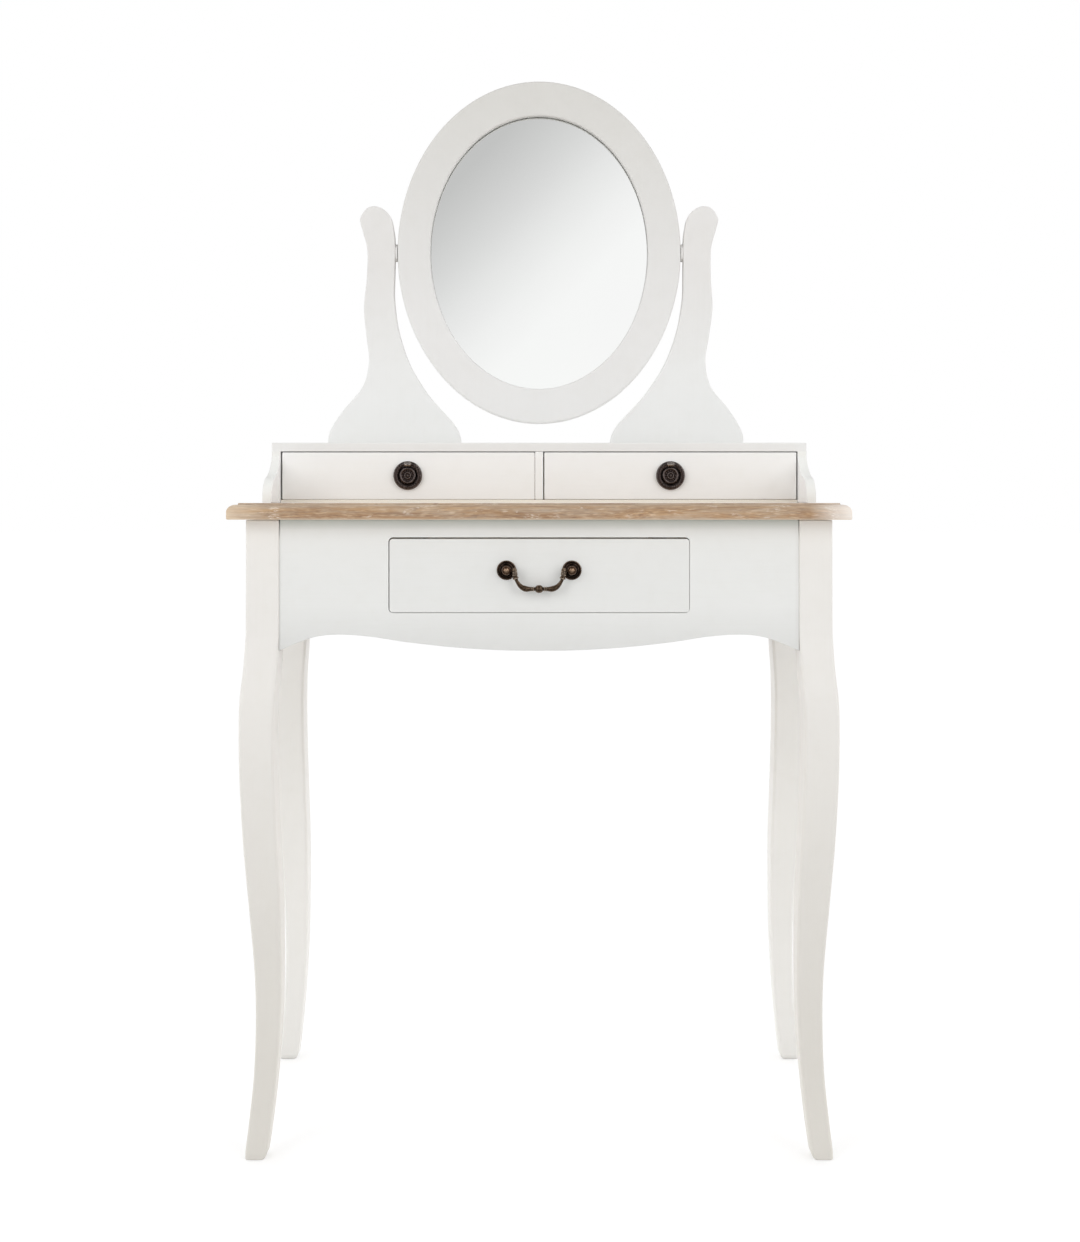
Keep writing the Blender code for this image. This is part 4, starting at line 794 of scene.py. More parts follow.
def pierce(shape, tool):
    """The exact boolean of a shape less a tool."""
    pair = []
    for part in (shape, tool):
        bmesh.ops.recalc_face_normals(part, faces=part.faces)
        pair.append(make_object("boolean", make_mesh("boolean", part)))
    modifier = pair[0].modifiers.new("Boolean", "BOOLEAN")
    modifier.operation = "DIFFERENCE"
    modifier.solver = "EXACT"
    modifier.object = pair[1]
    result = bmesh.new()
    result.from_object(pair[0], bpy.context.evaluated_depsgraph_get())
    for obj in pair:
        mesh = obj.data
        bpy.data.objects.remove(obj)
        bpy.data.meshes.remove(mesh)
    bmesh.ops.remove_doubles(result, verts=result.verts, dist=MERGE_DISTANCE)
    return result


def drill(radius, depth, place, direction, sides):
    """A round tool that runs past both faces of a board of that depth."""
    return turned([(radius, -OVERRUN), (radius, depth + OVERRUN)], place, direction, sides)


def soften(shape, width, chosen=lambda edge: True):
    """Bevel every edge that turns sharply, or those of them that are chosen."""
    bmesh.ops.recalc_face_normals(shape, faces=shape.faces)
    shape.normal_update()
    edges = [edge for edge in shape.edges if edge.calc_face_angle(0) > math.radians(40) and chosen(edge)]
    bmesh.ops.bevel(shape, geom=edges, offset=width, segments=2, profile=0.5, affect="EDGES")


def build_aprons(front_material, side_material):
    """Front apron with its drawer opening, and the two side aprons."""
    low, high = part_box("front_apron")
    lower = TOP_UNDERSIDE - APRON_HEIGHT
    tight = LEG_TOP - JOINT_OPEN_HEIGHT
    reach = high.x + SEAT_GAP
    upper_reach = reach - JOINT_OPENING
    outline = shaped_edge(reach, 0, lower)
    outline += [(reach, tight), (upper_reach, LEG_TOP), (-upper_reach, LEG_TOP), (-reach, tight)]
    drawer_low, drawer_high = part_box("centre_drawer_front")
    corners = (
        (drawer_low.x - DRAWER_GAP, drawer_low.z - DRAWER_GAP),
        (drawer_high.x + DRAWER_GAP, drawer_high.z + DRAWER_GAP),
    )
    opening = rounded_rectangle(*corners, DRAWER_CORNER + DRAWER_GAP, 5)
    board = pierce(prism(outline, low.y, high.y, 1), prism(opening, low.y - 0.01, high.y + 0.01, 1))
    soften(board, JOINT_ARRIS, lambda edge: all(abs(vert.co.x) > reach - 0.001 for vert in edge.verts))
    soften(board, APRON_ARRIS)
    add_piece("front_apron_shaped", board, front_material, "table", ["front_apron"])
    for name in ("side_apron_left", "side_apron_right"):
        low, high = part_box(name)
        outline = shaped_edge((high.y - low.y) / 2, (high.y + low.y) / 2, lower)
        outline += [(high.y, LEG_TOP), (low.y, LEG_TOP)]
        board = rounded_board(outline, low.x, high.x, 0, APRON_ARRIS)
        add_piece(f"{name}_shaped", board, side_material, "table", [name])


def build_front(prefix, material, corner, bore_x=None):
    """A drawer's front with rounded edges, hung a little unevenly, and a bore for its pull."""
    low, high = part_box(f"{prefix}_front")
    left, right, lower, upper = FRONT_REACH[prefix]
    outline = rounded_rectangle((low.x - left, low.z - lower), (high.x + right, high.z + upper), corner, 6)
    board = rounded_board(outline, low.y, high.y, 1, FRONT_ARRIS)
    if bore_x is not None:
        tool = drill(STUD_BORE, high.y - low.y, (bore_x, low.y, PULL_HEIGHT), (0, 1, 0), SCREW_SIDES)
        board = pierce(board, tool)
    add_piece(f"{prefix}_front_eased", board, material, prefix, [f"{prefix}_front"])


def build_gallery_sides(material):
    """The gallery's side boards, which run forward as scrolled wings."""
    for name in ("gallery_side_left", "gallery_side_right"):
        low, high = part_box(name)
        outline = [(high.y, low.z)]
        for reach, height in smooth_line(WING_EDGE, OUTLINE_STEPS):
            outline.append((GALLERY_FACE - WING_REACH * reach, low.z + WING_HEIGHT * height))
        upper = high.z + SEAT_GAP
        outline += [(GALLERY_FACE, upper), (high.y, upper)]
        board = rounded_board(outline, low.x, high.x, 0, WING_ARRIS)
        # Under the top board the arris closes up
        for vert in board.verts:
            behind = vert.co.y - GALLERY_FACE + WING_ARRIS
            if behind > 0 and vert.co.z > upper - WING_ARRIS:
                tight = min(1, behind / WING_ARRIS) * WING_TIGHT_SHARE
                outer = low.x if vert.co.x < (low.x + high.x) / 2 else high.x
                vert.co.x += (outer - vert.co.x) * tight
                vert.co.z += (upper - vert.co.z) * tight
        add_piece(f"{name}_scrolled", board, material, "table", [name])


def support_screw_places():
    """Across the table, where the screws come up into the mirror supports."""
    for side, hand in HANDS:
        for end, along in (("inner", SUPPORT_SCREW_INSET), ("outer", SUPPORT_WIDTH - SUPPORT_SCREW_INSET)):
            yield f"{hand}_{end}", side * (SUPPORT_INNER_END + along)


def build_gallery_top(material):
    """The gallery's top board: upper edges eased, lower ones tight, countersunk for the supports' screws."""
    low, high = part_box("gallery_top")
    levels = [(low.z, GALLERY_TIGHT_ARRIS), (low.z + GALLERY_TIGHT_ARRIS, 0)]
    for inward, below in quarter(ARRIS_STEPS):
        levels.append((high.z - GALLERY_TOP_ARRIS * below, GALLERY_TOP_ARRIS * inward))
    rings = []
    for height, inward in levels:
        corners = (low.x + inward, low.y + inward), (high.x - inward, high.y - inward)
        outline = rounded_rectangle(*corners, GALLERY_TOP_ARRIS, ARRIS_STEPS)
        rings.append([(x, y, height) for x, y in outline])
    head, shank, past = SCREW_HEAD_RADIUS + SEAT_GAP, SCREW_RADIUS + SEAT_GAP, high.z - low.z + OVERRUN
    profile = [
        (0, -OVERRUN), (head, -OVERRUN), (head, 0.0003), (shank, SCREW_HEAD_HEIGHT), (shank, past), (0, past),
    ]
    bores = []
    for _, x in support_screw_places():
        bores.append(turned(profile, (x, MIRROR_PLANE, low.z), (0, 0, 1), SCREW_SIDES))
    board = pierce(loft(rings), join(bores))
    add_piece("gallery_top_eased", board, material, "table", ["gallery_top"])


def build_supports(material):
    """The scrolled boards that carry the mirror."""
    for side, hand in HANDS:
        outline = []
        for across, up in smooth_line(SUPPORT_EDGE, OUTLINE_STEPS)[:-1]:
            z = SUPPORT_FOOT + SUPPORT_HEIGHT * up
            slant = SUPPORT_SLANT[hand] * max(0, SUPPORT_SLANT_START - z)
            outline.append((side * (SUPPORT_INNER_END + SUPPORT_WIDTH * across - slant), z))
        half = SUPPORT_THICKNESS / 2
        board = rounded_board(outline, MIRROR_PLANE - half, MIRROR_PLANE + half, 1, SUPPORT_ARRIS)
        name = f"mirror_support_{hand}"
        add_piece(f"{name}_scrolled", board, material, "table", [name])


def oval_point(offset, turn):
    """A point on the oval that lies a distance outside the mirror's opening."""
    stretch = MIRROR_BAND_HEIGHT / MIRROR_BAND_WIDTH
    half_width = MIRROR_HALF_WIDTH - MIRROR_BAND_WIDTH + offset
    half_height = MIRROR_HALF_HEIGHT - MIRROR_BAND_HEIGHT + offset * stretch
    return half_width * math.cos(turn), PIVOT_HEIGHT + half_height * math.sin(turn)


def oval_loft(profile, closed=False):
    """A profile of offset and depth carried round the oval."""
    rings = []
    for turn in full_turn(OVAL_STEPS):
        places = [(oval_point(offset, turn), depth) for offset, depth in profile]
        rings.append([(x, depth, z) for (x, z), depth in places])
    return loft(rings, closed=True) if closed else loft(list(zip(*rings)))


def build_mirror(paint_material, clear, silver, board_material):
    """The oval frame, the glass and the board behind it."""
    band = MIRROR_BAND_WIDTH
    front = MIRROR_PLANE - FRAME_THICKNESS / 2
    back = MIRROR_PLANE + FRAME_THICKNESS / 2
    bevel, rounding, softening = FRAME_INNER_BEVEL, FRAME_OUTER_ROUND, FRAME_BACK_SOFTENING
    profile = [(0, front + FRAME_LIP), (0, front + bevel)]
    profile += [(bevel * out, front + bevel * deep) for out, deep in quarter(FRAME_ROUND_STEPS)[1:]]
    for deep, inward in quarter(FRAME_ROUND_STEPS):
        profile.append((band - rounding * inward, front + rounding * deep))
    profile += [
        (band, back - softening), (band - softening * 0.3, back - softening * 0.3), (band - softening, back),
        (FRAME_REBATE, back), (FRAME_REBATE, front + FRAME_LIP),
    ]
    oval = oval_loft(profile, closed=True)
    add_piece("mirror_frame_oval", oval, paint_material, "mirror", ["mirror_frame"])
    fit = FRAME_REBATE - SEAT_GAP
    eased = fit - GLASS_EDGE
    near = front + FRAME_LIP + SEAT_GAP
    far = near + GLASS_THICKNESS
    glass = oval_loft([(eased, near), (fit, near + GLASS_EDGE), (fit, far - GLASS_EDGE), (eased, far)])
    plate = add_piece("mirror_glass_silvered", glass, clear, "mirror", ["mirror_glass"])
    plate.data.materials.append(silver)
    for face in plate.data.polygons:
        face.material_index = int(face.normal.y > 0.9)
    panel = oval_loft([(fit, far + SEAT_GAP), (fit, back - GLASS_EDGE), (eased, back)])
    add_piece("mirror_back_panel", panel, board_material, "mirror", ["mirror_back_board"])


def build_spacers(material):
    """Painted oval washers on the supports, round the pivots' collars."""
    for side, hand in HANDS:
        outline = []
        for turn in full_turn(SPACER_STEPS):
            y = MIRROR_PLANE + SPACER_HALF_DEPTH * math.cos(turn)
            outline.append((y, PIVOT_HEIGHT + SPACER_HALF_HEIGHT * math.sin(turn)))
        start, end = sorted(side * place for place in SPACER_ENDS)
        place = (start, MIRROR_PLANE, PIVOT_HEIGHT)
        tool = drill(PIVOT_COLLAR_BORE, end - start, place, (1, 0, 0), SPACER_STEPS)
        board = pierce(rounded_board(outline, start, end, 0, SPACER_ARRIS), tool)
        add_piece(f"mirror_spacer_{hand}", board, material, "table")


def path_rings(path, sides):
    """Round sections along a path of (x, z, radius) in the plane of the bail."""
    rings = []
    for index, (x, z, radius) in enumerate(path):
        before = Vector(path[max(index - 1, 0)][:2])
        after = Vector(path[min(index + 1, len(path) - 1)][:2])
        along = (after - before).normalized()
        ring = []
        for angle in full_turn(sides):
            sideways = radius * math.cos(angle)
            y = BAIL_AXIS_Y + radius * math.sin(angle)
            ring.append((x - along.y * sideways, y, BAIL_HEIGHT + z + along.x * sideways))
        rings.append(ring)
    return rings


def resampled(line, spacing):
    """A line of points at even spacing by its first two coordinates."""
    points = [line[0]]
    spare = 0.0
    for start, end in zip(line, line[1:]):
        length = (end - start).to_2d().length
        place = spacing - spare
        while place < length:
            points.append(start.lerp(end, place / length))
            place += spacing
        spare = (spare + length) % spacing
    return points + [line[-1]]


def bail_ornament(from_end, radius):
    """The bar's radius with its turned ornament: ribs and a flared skirt at the end."""
    if from_end < BAIL_RIBS_END:
        return 0.0029 + 0.00055 * abs(math.sin(from_end / BAIL_RIBS_END * math.pi * 3))
    if from_end < BAIL_SKIRT_END:
        flare = (from_end - BAIL_RIBS_END) / (BAIL_SKIRT_END - BAIL_RIBS_END)
        return 0.0024 + 0.0016 * flare ** 1.5
    if from_end < BAIL_BLEND_END:
        blend = (from_end - BAIL_SKIRT_END) / (BAIL_BLEND_END - BAIL_SKIRT_END)
        return radius + (0.0040 - radius) * (1 - blend)
    return radius


def build_bail(material):
    """The cast bail: swelling bar, collars beside a ball, ribbed knuckles on pins."""
    half = []
    for out, drop, thick in smooth_line(BAIL_PATH, 10):
        half.append(Vector((BAIL_HALF_WIDTH * out, -BAIL_DROP * drop, BAIL_THICKNESS / 2 * thick)))
    half = resampled(half, BAIL_RING_SPACING)
    lengths = [0.0]
    for start, end in zip(half, half[1:]):
        lengths.append(lengths[-1] + (end - start).to_2d().length)
    dressed = []
    for point, length in zip(half, lengths):
        radius = bail_ornament(lengths[-1] - length, point.z)
        for height, place, width in BAIL_COLLARS:
            radius += height * math.exp(-((length - place) / width) ** 2)
        dressed.append((point.x, point.y, radius))
    path = [(-x, z, radius) for x, z, radius in reversed(dressed[1:])] + dressed
    parts = [loft(path_rings(path, BAIL_SIDES))]
    for side, _ in HANDS:
        end = Vector((side * BAIL_HALF_WIDTH, BAIL_AXIS_Y, BAIL_HEIGHT))
        parts.append(turned(smooth_profile(BAIL_KNUCKLE, 3), end, (side, 0, 0), BAIL_SIDES))
    add_piece("bail_handle_cast", join(parts), material, "bail", ["bail_handle"], 50)


def build_bail_seats(plate_material, post_material):
    """Rosettes and domed posts that hold the bail."""
    post = BAIL_POST_FOOT + [(0.0039, POST_HEIGHT - DOME_HEIGHT - 0.0003)]
    for inward, below in quarter(DOME_STEPS)[:-1]:
        post.append((DOME_RADIUS * (1 - inward), POST_HEIGHT - DOME_HEIGHT * below))
    post.append((0, POST_HEIGHT))
    for side, hand in HANDS:
        for node, name, profile, material in (
            (f"bail_plate_{hand}", f"bail_rosette_{hand}", BAIL_ROSETTE, plate_material),
            (f"bail_post_{hand}", f"bail_post_{hand}_domed", post, post_material),
        ):
            place = (side * BAIL_SPACING / 2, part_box(node)[1].y, BAIL_HEIGHT)
            shape = turned(profile, place, (0, -1, 0), TURN_SIDES)
            add_piece(name, shape, material, "centre_drawer", [node], 50)


def petal_ripple(angle, radius):
    """Scallops round the pull's middle groove and fine notches on its ridge."""
    groove = math.exp(-((radius - 0.0058) / 0.0011) ** 2)
    ridge = math.exp(-((radius - 0.0037) / 0.0008) ** 2)
    return PETAL_DEPTH * math.cos(PETALS * angle) * groove + 0.0002 * math.cos(8 * angle) * ridge


def clasp_profile(steps=48):
    """The ribbed barrel that holds the ring."""
    profile = [(0, -CLASP_HALF_WIDTH)]
    for step in range(steps + 1):
        along = -CLASP_HALF_WIDTH + 2 * CLASP_HALF_WIDTH * step / steps
        rib = 0.0006 * abs(math.cos(math.pi * 5 * step / steps))
        end = min(1, min(step, steps - step) / 3)
        profile.append(((CLASP_RADIUS - 0.0004) * (0.82 + 0.18 * end) + rib * end, along))
    return profile + [(0, CLASP_HALF_WIDTH)]


def leaf_relief(angle):
    """How high the ring stands along its run: overlapping leaves above and below, plain at the sides."""
    from_top = min(angle, math.tau - angle)
    reach = math.radians(24)
    leafy = max(math.exp(-((from_top - math.radians(middle)) / reach) ** 4) for middle in (48, 148))
    return 1 - 0.48 * leafy * (1 - (from_top / math.radians(12)) % 1) ** 2


def ring_sections(x, bar_angle):
    """Sections of a pull's ring, from one end of its bar round to the other."""
    rings = []
    for step in range(RING_STEPS + 1):
        run = step / RING_STEPS
        angle = bar_angle + (math.tau - 2 * bar_angle) * run
        swell = min(1, min(run, 1 - run) / RING_BLEND)
        swell = swell * swell * (3 - 2 * swell)
        half_width = RING_BAR_RADIUS + (RING_HALF_WIDTH - RING_BAR_RADIUS) * swell
        half_depth = RING_BAR_RADIUS + (RING_HALF_DEPTH * leaf_relief(angle) - RING_BAR_RADIUS) * swell
        lean = {0: bar_angle / 2, RING_STEPS: -bar_angle / 2}.get(step, angle)
        ring = []
        for turn in full_turn(RING_SIDES):
            out = half_width * math.cos(turn)
            ring.append((
                x + RING_RADIUS * math.sin(angle) + out * math.sin(lean),
                RING_Y + half_depth * math.sin(turn),
                PULL_HEIGHT + RING_RADIUS * math.cos(angle) + out * math.cos(lean),
            ))
        rings.append(ring)
    return rings


def build_pulls(plate_material, clasp_material, ring_material, zinc_material):
    """Each small drawer's pull: relief disc, ribbed clasp, leaf ring, stud, washer and nut."""
    bar_angle = math.asin(RING_BAR_HALF / RING_RADIUS)
    bar_z = PULL_HEIGHT + math.sqrt(RING_RADIUS ** 2 - RING_BAR_HALF ** 2)
    for hand, x in PULL_CENTRES:
        drawer = f"{hand}_drawer"
        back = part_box(f"{hand}_pull_plate")[1].y
        face, inside = [corner.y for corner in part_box(f"{drawer}_front")]
        disc = turned(smooth_profile(PULL_PROFILE, 3), (x, face, PULL_HEIGHT), (0, -1, 0), 120, petal_ripple)
        clasp = turned(clasp_profile(), (x, RING_Y, bar_z), (1, 0, 0), 32)
        stud = turned(thread(back - face - 0.001), (x, back, PULL_HEIGHT), (0, -1, 0), SCREW_SIDES)
        name, whole = f"{hand}_pull_rosette", join([disc, clasp, stud])
        plate = add_piece(name, whole, plate_material, drawer, [f"{hand}_pull_plate"], 50)
        plate.data.materials.append(clasp_material)
        for polygon in plate.data.polygons:
            centre = polygon.center
            from_axis = math.hypot(centre.y - RING_Y, centre.z - bar_z)
            if from_axis < CLASP_RADIUS * 1.15 and abs(centre.x - x) < CLASP_HALF_WIDTH * 1.01:
                polygon.material_index = 1
        name, ring = f"{hand}_pull_ring", loft(ring_sections(x, bar_angle), closed=True)
        add_piece(f"{name}_leafed", ring, ring_material, f"{hand}_ring", [name], 60)
        inside += SEAT_GAP
        washer = turned(WASHER, (x, inside, PULL_HEIGHT), (0, 1, 0), SCREW_SIDES)
        add_piece(f"{hand}_pull_washer", washer, zinc_material, drawer)
        nut = hexagon_nut((x, inside + 0.0011, PULL_HEIGHT), (0, 1, 0))
        add_piece(f"{hand}_pull_nut", nut, zinc_material, drawer)


def thread(length, pitch=0.0007):
    """The profile of a threaded rod that starts at its tip."""
    profile = [(0, 0), (0.0014, 0), (0.0019, 0.0005)]
    for turn in range(int((length - 0.001) / pitch)):
        profile += [(0.0020, 0.0008 + pitch * turn), (0.00175, 0.0008 + pitch * (turn + 0.5))]
    return profile + [(0.0020, length), (0, length)]


def hexagon_nut(place, direction):
    """A six-sided nut with its corners turned down and a bore."""
    rings = []
    for share, level in ((0.93, 0.0), (1.0, 0.08), (1.0, 0.92), (0.93, 1.0)):
        radius, height = NUT_RADIUS * share, NUT_HEIGHT * level
        rings.append([(radius * math.cos(angle), radius * math.sin(angle), height) for angle in full_turn(6)])
    return aim(pierce(loft(rings), drill(STUD_BORE, NUT_HEIGHT, (0, 0, 0), (0, 0, 1), 18)), place, direction)


def wood_screw(place, length, pitch=0.0016):
    """A countersunk wood screw that points up, with a cross recess, its head's face at the place."""
    start = length * 0.35
    profile = [(0, 0), (SCREW_HEAD_RADIUS - 0.0003, 0), (SCREW_HEAD_RADIUS, 0.0003)]
    profile += [(SCREW_RADIUS, SCREW_HEAD_HEIGHT), (SCREW_RADIUS, start)]
    for turn in range(int((length - start - 0.004) / pitch)):
        profile += [(0.0013, start + pitch * (turn + 0.45)), (SCREW_RADIUS, start + pitch * (turn + 1))]
    profile += [(0.0013, length - 0.003), (0, length)]
    arm, width = 0.0022, 0.0005
    cross = [
        (arm, width), (width, width), (width, arm), (-width, arm), (-width, width), (-arm, width),
        (-arm, -width), (-width, -width), (-width, -arm), (width, -arm), (width, -width), (arm, -width),
    ]
    screw = turned(profile, (0, 0, 0), (0, 0, 1), SCREW_SIDES)
    return aim(pierce(screw, prism(cross, -OVERRUN, 0.0012, 2)), place, (0, 0, 1))


def build_screws(material):
    """Screws up through the kicker rails and up through the gallery's top."""
    screws = []
    for _, hand in HANDS:
        low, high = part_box(f"drawer_kicker_{hand}")
        front, back = low.y - SEAT_GAP + KICKER_SCREW_INSET, high.y + SEAT_GAP - KICKER_SCREW_INSET
        for end, y in (("front", front), ("back", back)):
            screws.append((f"kicker_screw_{hand}_{end}", (low.x + high.x) / 2, y, low.z, KICKER_SCREW_LENGTH))
    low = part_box("gallery_top")[0]
    for end, x in support_screw_places():
        screws.append((f"support_screw_{end}", x, MIRROR_PLANE, low.z, SUPPORT_SCREW_LENGTH))
    for name, x, y, face, length in screws:
        screw = wood_screw((x, y, face + 0.0002), length)
        add_piece(name, screw, material, "table", sharp=30)


def build_clips(material):
    """Turn clips with screws that hold the mirror's back board."""
    back = MIRROR_PLANE + FRAME_THICKNESS / 2 + SEAT_GAP
    for number in range(6):
        turn = math.tau * (number + 0.5) / 6
        x, z = oval_point(FRAME_REBATE + 0.009, turn)
        middle_x, middle_z = oval_point(FRAME_REBATE - 0.004, turn)
        toward = Vector((middle_x - x, middle_z - z)).normalized()
        aside = Vector((-toward.y, toward.x))
        outline = [Vector((x, z)) + toward * along + aside * across for along, across in CLIP_OUTLINE]
        plate = rounded_board(outline, back, back + CLIP_THICKNESS, 1, 0.0003)
        screw = turned(CLIP_SCREW, (x, back + CLIP_THICKNESS, z), (0, 1, 0), SCREW_SIDES)
        add_piece(f"back_clip_{number + 1}", join([plate, screw]), material, "mirror", sharp=40)


# ---------------------------------------------------------------- room, light and camera

def build_floor():
    """A pale floor that shows white and keeps the table's shadow."""
    shape = bmesh.new()
    bmesh.ops.create_grid(shape, x_segments=1, y_segments=1, size=40)
    floor = make_object("floor", make_mesh("floor", shape))
    material, nodes = new_material("studio_floor")
    path = nodes.add("LightPath", {}).outputs
    seen = nodes.most(path["Is Camera Ray"], path["Is Glossy Ray"], path["Is Transmission Ray"])
    # What metal reflects of the floor before the table is dimmed
    direct = nodes.maths("LESS_THAN", path["Transmission Depth"], 0.5)
    before = nodes.between(nodes.axes()["Y"], -0.10, -0.40, 0.0, METAL_FLOOR_DIMMING)
    dimmed = nodes.maths("MULTIPLY", nodes.maths("MULTIPLY", path["Is Glossy Ray"], direct), before)
    pale = nodes.tint(srgb(228, 228, 228), srgb(230, 230, 230), nodes.noise(60.0, 2.0), 0.3, 0.7)
    distance = nodes.add("VectorMath", {0: nodes.place()}, operation="LENGTH").outputs["Value"]
    far = nodes.between(distance, *FLOOR_SHADOW_REACH)
    near_tone = nodes.mix(far, srgb(220, 220, 220), srgb(0, 0, 0))
    tone = nodes.mix(dimmed, nodes.mix(seen, pale, near_tone), srgb(0, 0, 0))
    matt = nodes.add("BsdfDiffuse", {"Color": tone})
    strength = nodes.maths("MULTIPLY", seen, nodes.between(far, 0.0, 1.0, FLOOR_GLOW, 1.02))
    strength = nodes.maths("MULTIPLY", strength, nodes.maths("SUBTRACT", 1.0, dimmed))
    glow = nodes.add("Emission", {"Color": (1, 1, 1, 1), "Strength": strength})
    both = nodes.add("AddShader", {0: matt.outputs[0], 1: glow.outputs[0]})
    nodes.add("OutputMaterial", {"Surface": both.outputs[0]})
    floor.data.materials.append(material)


def build_world():
    """White to the camera; what the mirror and the metal see dims towards the upper left."""
    world = bpy.data.worlds.new("studio")
    bpy.context.scene.world = world
    world.use_nodes = True
    nodes = Nodes(world.node_tree)
    path = nodes.add("LightPath", {}).outputs
    direction = nodes.add("TexCoord", {}).outputs["Generated"]
    axes = nodes.add("SeparateXYZ", {"Vector": direction}).outputs
    slant = nodes.maths("SUBTRACT", axes["X"], axes["Z"])
    ramp = nodes.add("ValToRGB", {"Fac": nodes.between(slant, -1.0, 1.0)})
    elements = ramp.color_ramp.elements
    while len(elements) > 1:
        elements.remove(elements[-1])
    for number, (place, level) in enumerate(ROOM_LEVELS):
        element = elements.new((place + 1) / 2) if number else elements[0]
        element.position = (place + 1) / 2
        element.color = srgb(level, level, level)
    # Soft light, stronger from the sides and from behind
    behind = nodes.maths("MAXIMUM", axes["Y"], 0.0)
    level = nodes.maths("MULTIPLY_ADD", nodes.maths("MULTIPLY", axes["X"], axes["X"]), AMBIENT_SIDES, AMBIENT)
    level = nodes.maths("MULTIPLY_ADD", nodes.maths("MULTIPLY", behind, behind), AMBIENT_BEHIND, level)
    soft = nodes.add("Background", {"Color": (0.985, 0.99, 1.0, 1.0), "Strength": level})
    white = nodes.add("Background", {"Color": (1, 1, 1, 1), "Strength": 1.0})
    # What reflections see: bright in front, above and through the glass
    front = nodes.between(axes["Y"], -0.95, -0.78, 1.0, 0.0)
    above = nodes.between(axes["Z"], 0.55, 0.80)
    through = nodes.maths("GREATER_THAN", path["Transmission Depth"], 0.5)
    lit = nodes.between(nodes.most(front, above, through), 0.0, 1.0, 0.22, 1.05)
    shade = nodes.most(nodes.between(slant, -0.70, -0.252, 0.22, 1.0), through)
    strength = nodes.maths("MULTIPLY", lit, shade)
    room = nodes.add("Background", {"Color": ramp.outputs["Color"], "Strength": strength})
    mirrored = nodes.most(path["Is Glossy Ray"], path["Is Transmission Ray"])
    shown = nodes.add("MixShader", {0: path["Is Camera Ray"], 1: soft.outputs[0], 2: white.outputs[0]})
    shown = nodes.add("MixShader", {0: mirrored, 1: shown.outputs[0], 2: room.outputs[0]})
    nodes.add("OutputWorld", {"Surface": shown.outputs[0]})


def add_light(name, place, power):
    """A square soft box that points at the tabletop."""
    light = bpy.data.lights.new(name, "AREA")
    light.shape = "SQUARE"
    light.size = LIGHT_SIZE
    light.energy = power
    obj = make_object(name, light)
    obj.visible_transmission = False
    obj.location = place
    obj.rotation_euler = (Vector(LIGHT_TARGET) - Vector(place)).to_track_quat("-Z", "Y").to_euler()


def build_camera():
    """A level camera at the height of the tabletop."""
    camera = bpy.data.cameras.new("camera")
    camera.sensor_width = SENSOR
    camera.lens = FOCAL_PIXELS / PICTURE_HEIGHT * SENSOR
    camera.shift_x, camera.shift_y = CAMERA_SHIFT
    obj = make_object("camera", camera)
    obj.location = CAMERA_PLACE
    obj.rotation_euler = (math.pi / 2, 0, 0)
    bpy.context.scene.camera = obj


# ---------------------------------------------------------------- the whole

bpy.context.scene.view_settings.view_transform = "Standard"
build_camera()
build_floor()
build_world()
for name, place, power in (
    ("key", (-2.1, -1.9, 1.10), 7.9),
    ("fill", (2.1, -1.9, 1.10), 6.7),
    ("high_key", (-1.25, -1.9, 2.1), 8.0),
    ("high_fill", (1.25, -1.9, 2.1), 7.1),
):
    add_light(name, place, power)

# Name, colour, axis of the brush strokes, and the painted shading of the colour. The one white paint is set
# lighter or darker from piece to piece as painted light and shade.
paints = {}
for name, colour, along, *painted_shading in (
    # apron: painted shade, darker towards its lower edge, and a cool painted shadow just under the tabletop's
    # overhang
    ("apron", (233, 233, 230), 0, ((219, 219, 216), "Z", 0.67, 0.60), ((206, 211, 206), "Z", 0.762, 0.7735)),
    ("side_apron", (231, 231, 228), 1),
    # legs: painted shade, darker towards the foot
    ("legs", (236, 233, 228), 2, ((225, 221, 213), "Z", 0.62, 0.10)),
    # back legs: painted light, lighter than the front legs
    ("back_legs", (242, 240, 235), 2),
    ("drawers", (231, 231, 228), 0),
    # gallery: painted light, lighter than the rest where the tabletop and wings shade it; its floor lighter
    # and creamier as painted warm reflected light
    ("gallery", (252, 252, 250), 0),
    ("gallery_floor", (254, 250, 238), 0),
    ("gallery_top", (240, 240, 238), 0),
    # wings: painted light, inner faces lightest, front edges a little darker, outer faces at the common level
    (
        "wings", (252, 253, 253), 1,
        ((245, 245, 241), "X", 0.3346, 0.3352), ((233, 233, 230), "X", 0.3449, 0.3457),
    ),
    # supports and frame: painted shade, darker towards the top
    ("supports", (236, 236, 234), 2, ((229, 227, 224), "Z", 0.98, 1.12)),
    ("frame", (233, 232, 230), 2, ((216, 214, 209), "Z", 1.02, 1.35)),
):
    paints[name] = paint(f"paint_{name}", colour, along, painted_shading)

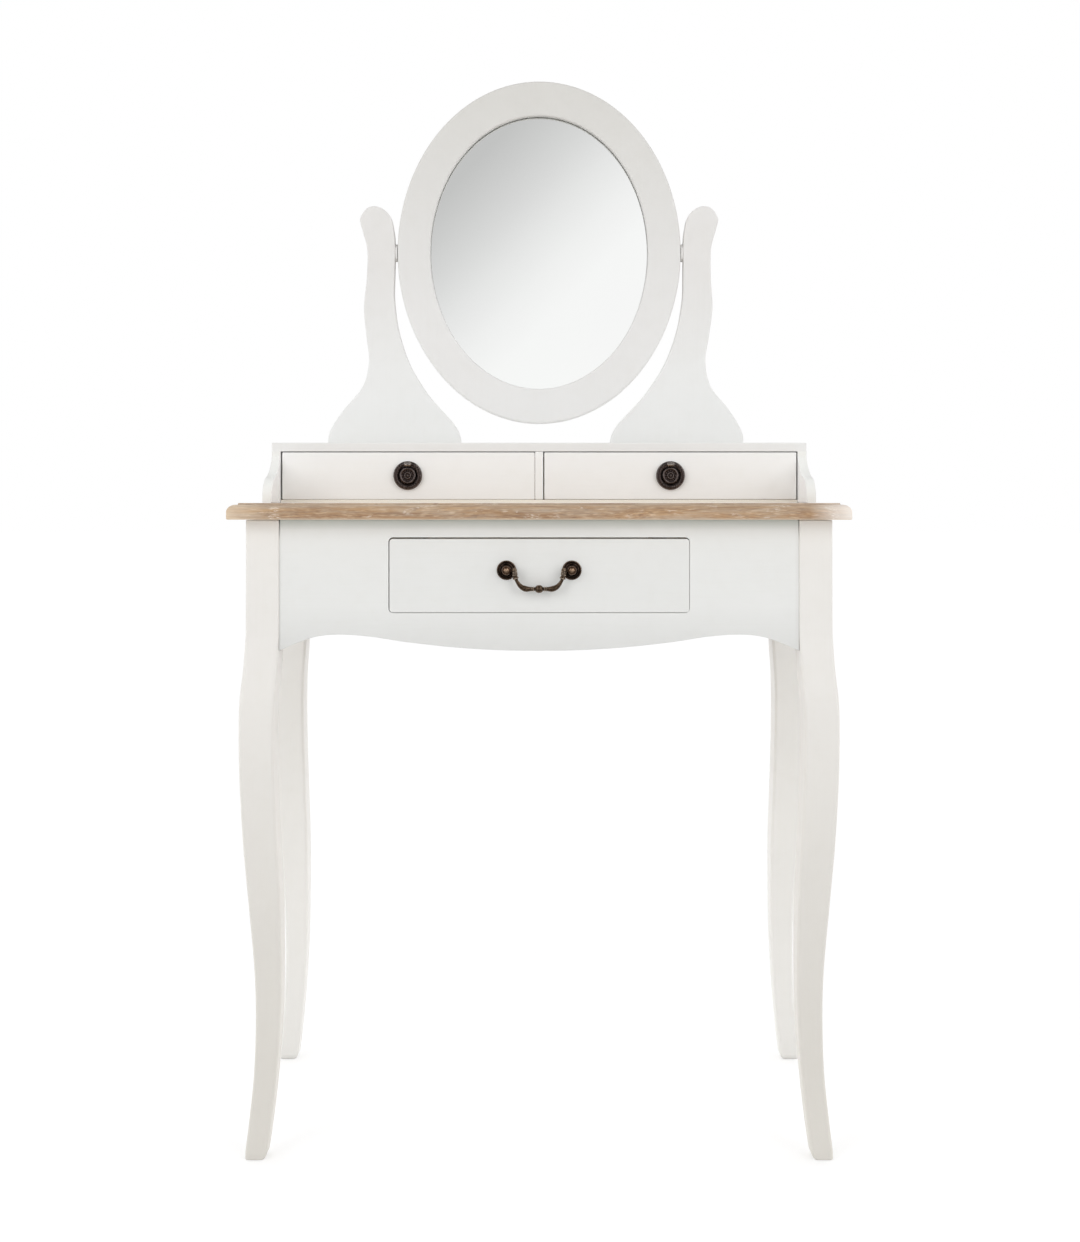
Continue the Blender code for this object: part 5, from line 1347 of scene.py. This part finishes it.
# Name, the dark, middle and worn colours, where the wear begins and ends, and the painted highlight on the
# knob's tip
bronzes = {}
for name, *looks in (
    ("pulls", (62, 53, 51), (86, 76, 74), (150, 140, 136), 0.45, 0.56),
    ("clasps", (58, 49, 46), (128, 118, 112), (214, 206, 200), 0.45, 0.55),
    ("rings", (44, 36, 34), (76, 66, 63), (180, 170, 164), 0.46, 0.60),
    ("rosettes", (26, 20, 17), (60, 48, 41), (132, 109, 92), 0.46, 0.58),
    ("bail", (44, 34, 28), (102, 84, 68), (228, 210, 190), 0.47, 0.58),
    (
        "posts", (34, 25, 20), (104, 78, 60), (150, 120, 98), 0.46, 0.62,
        ((206, 174, 146), POST_TIP_BACK, POST_TIP),
    ),
):
    bronzes[name] = bronze(f"bronze_{name}", *looks)
wood_x = raw_wood("raw_wood_across", 0)
wood_y = raw_wood("raw_wood_deep", 1)
wood_z = raw_wood("raw_wood_upright", 2)
board = hardboard()
steel = plated("zinc_steel", (176, 178, 180), (212, 212, 208))
pin_steel = plated("blackened_steel", (62, 58, 54), (92, 86, 80))

finishes = {
    "back_apron": paints["apron"],
    "gallery_bottom": paints["gallery_floor"],
    "gallery_divider": paints["gallery"],
    "gallery_back": board,
}
for prefix in ("centre_drawer", "left_drawer", "right_drawer"):
    finishes[f"{prefix}_side_left"] = wood_y
    finishes[f"{prefix}_side_right"] = wood_y
    finishes[f"{prefix}_back"] = wood_x
    finishes[f"{prefix}_bottom"] = board
for _, hand in HANDS:
    finishes[f"drawer_runner_{hand}"] = wood_y
    finishes[f"drawer_kicker_{hand}"] = wood_y
    finishes[f"bail_screw_{hand}"] = steel
    finishes[f"mirror_pivot_{hand}"] = pin_steel
    for end in ("front", "back"):
        finishes[f"corner_block_{end}_{hand}"] = wood_z
        finishes[f"leg_bolt_{end}_{hand}"] = steel
for name, material in finishes.items():
    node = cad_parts[name]
    node.data.materials.clear()
    node.data.materials.append(material)

build_tabletop(whitewashed_wood())
for side, hand in HANDS:
    build_leg(side, hand, -1, "front", paints["legs"])
    build_leg(side, hand, 1, "back", paints["back_legs"])
build_aprons(paints["apron"], paints["side_apron"])
build_front("centre_drawer", paints["drawers"], DRAWER_CORNER)
for hand, x in PULL_CENTRES:
    build_front(f"{hand}_drawer", paints["gallery"], SMALL_CORNER, x)
build_gallery_sides(paints["wings"])
build_gallery_top(paints["gallery_top"])
build_supports(paints["supports"])
build_mirror(paints["frame"], clear_glass(), silvered_glass(), board)
build_spacers(paints["supports"])
build_bail(bronzes["bail"])
build_bail_seats(bronzes["rosettes"], bronzes["posts"])
build_pulls(bronzes["pulls"], bronzes["clasps"], bronzes["rings"], steel)
build_screws(steel)
build_clips(steel)
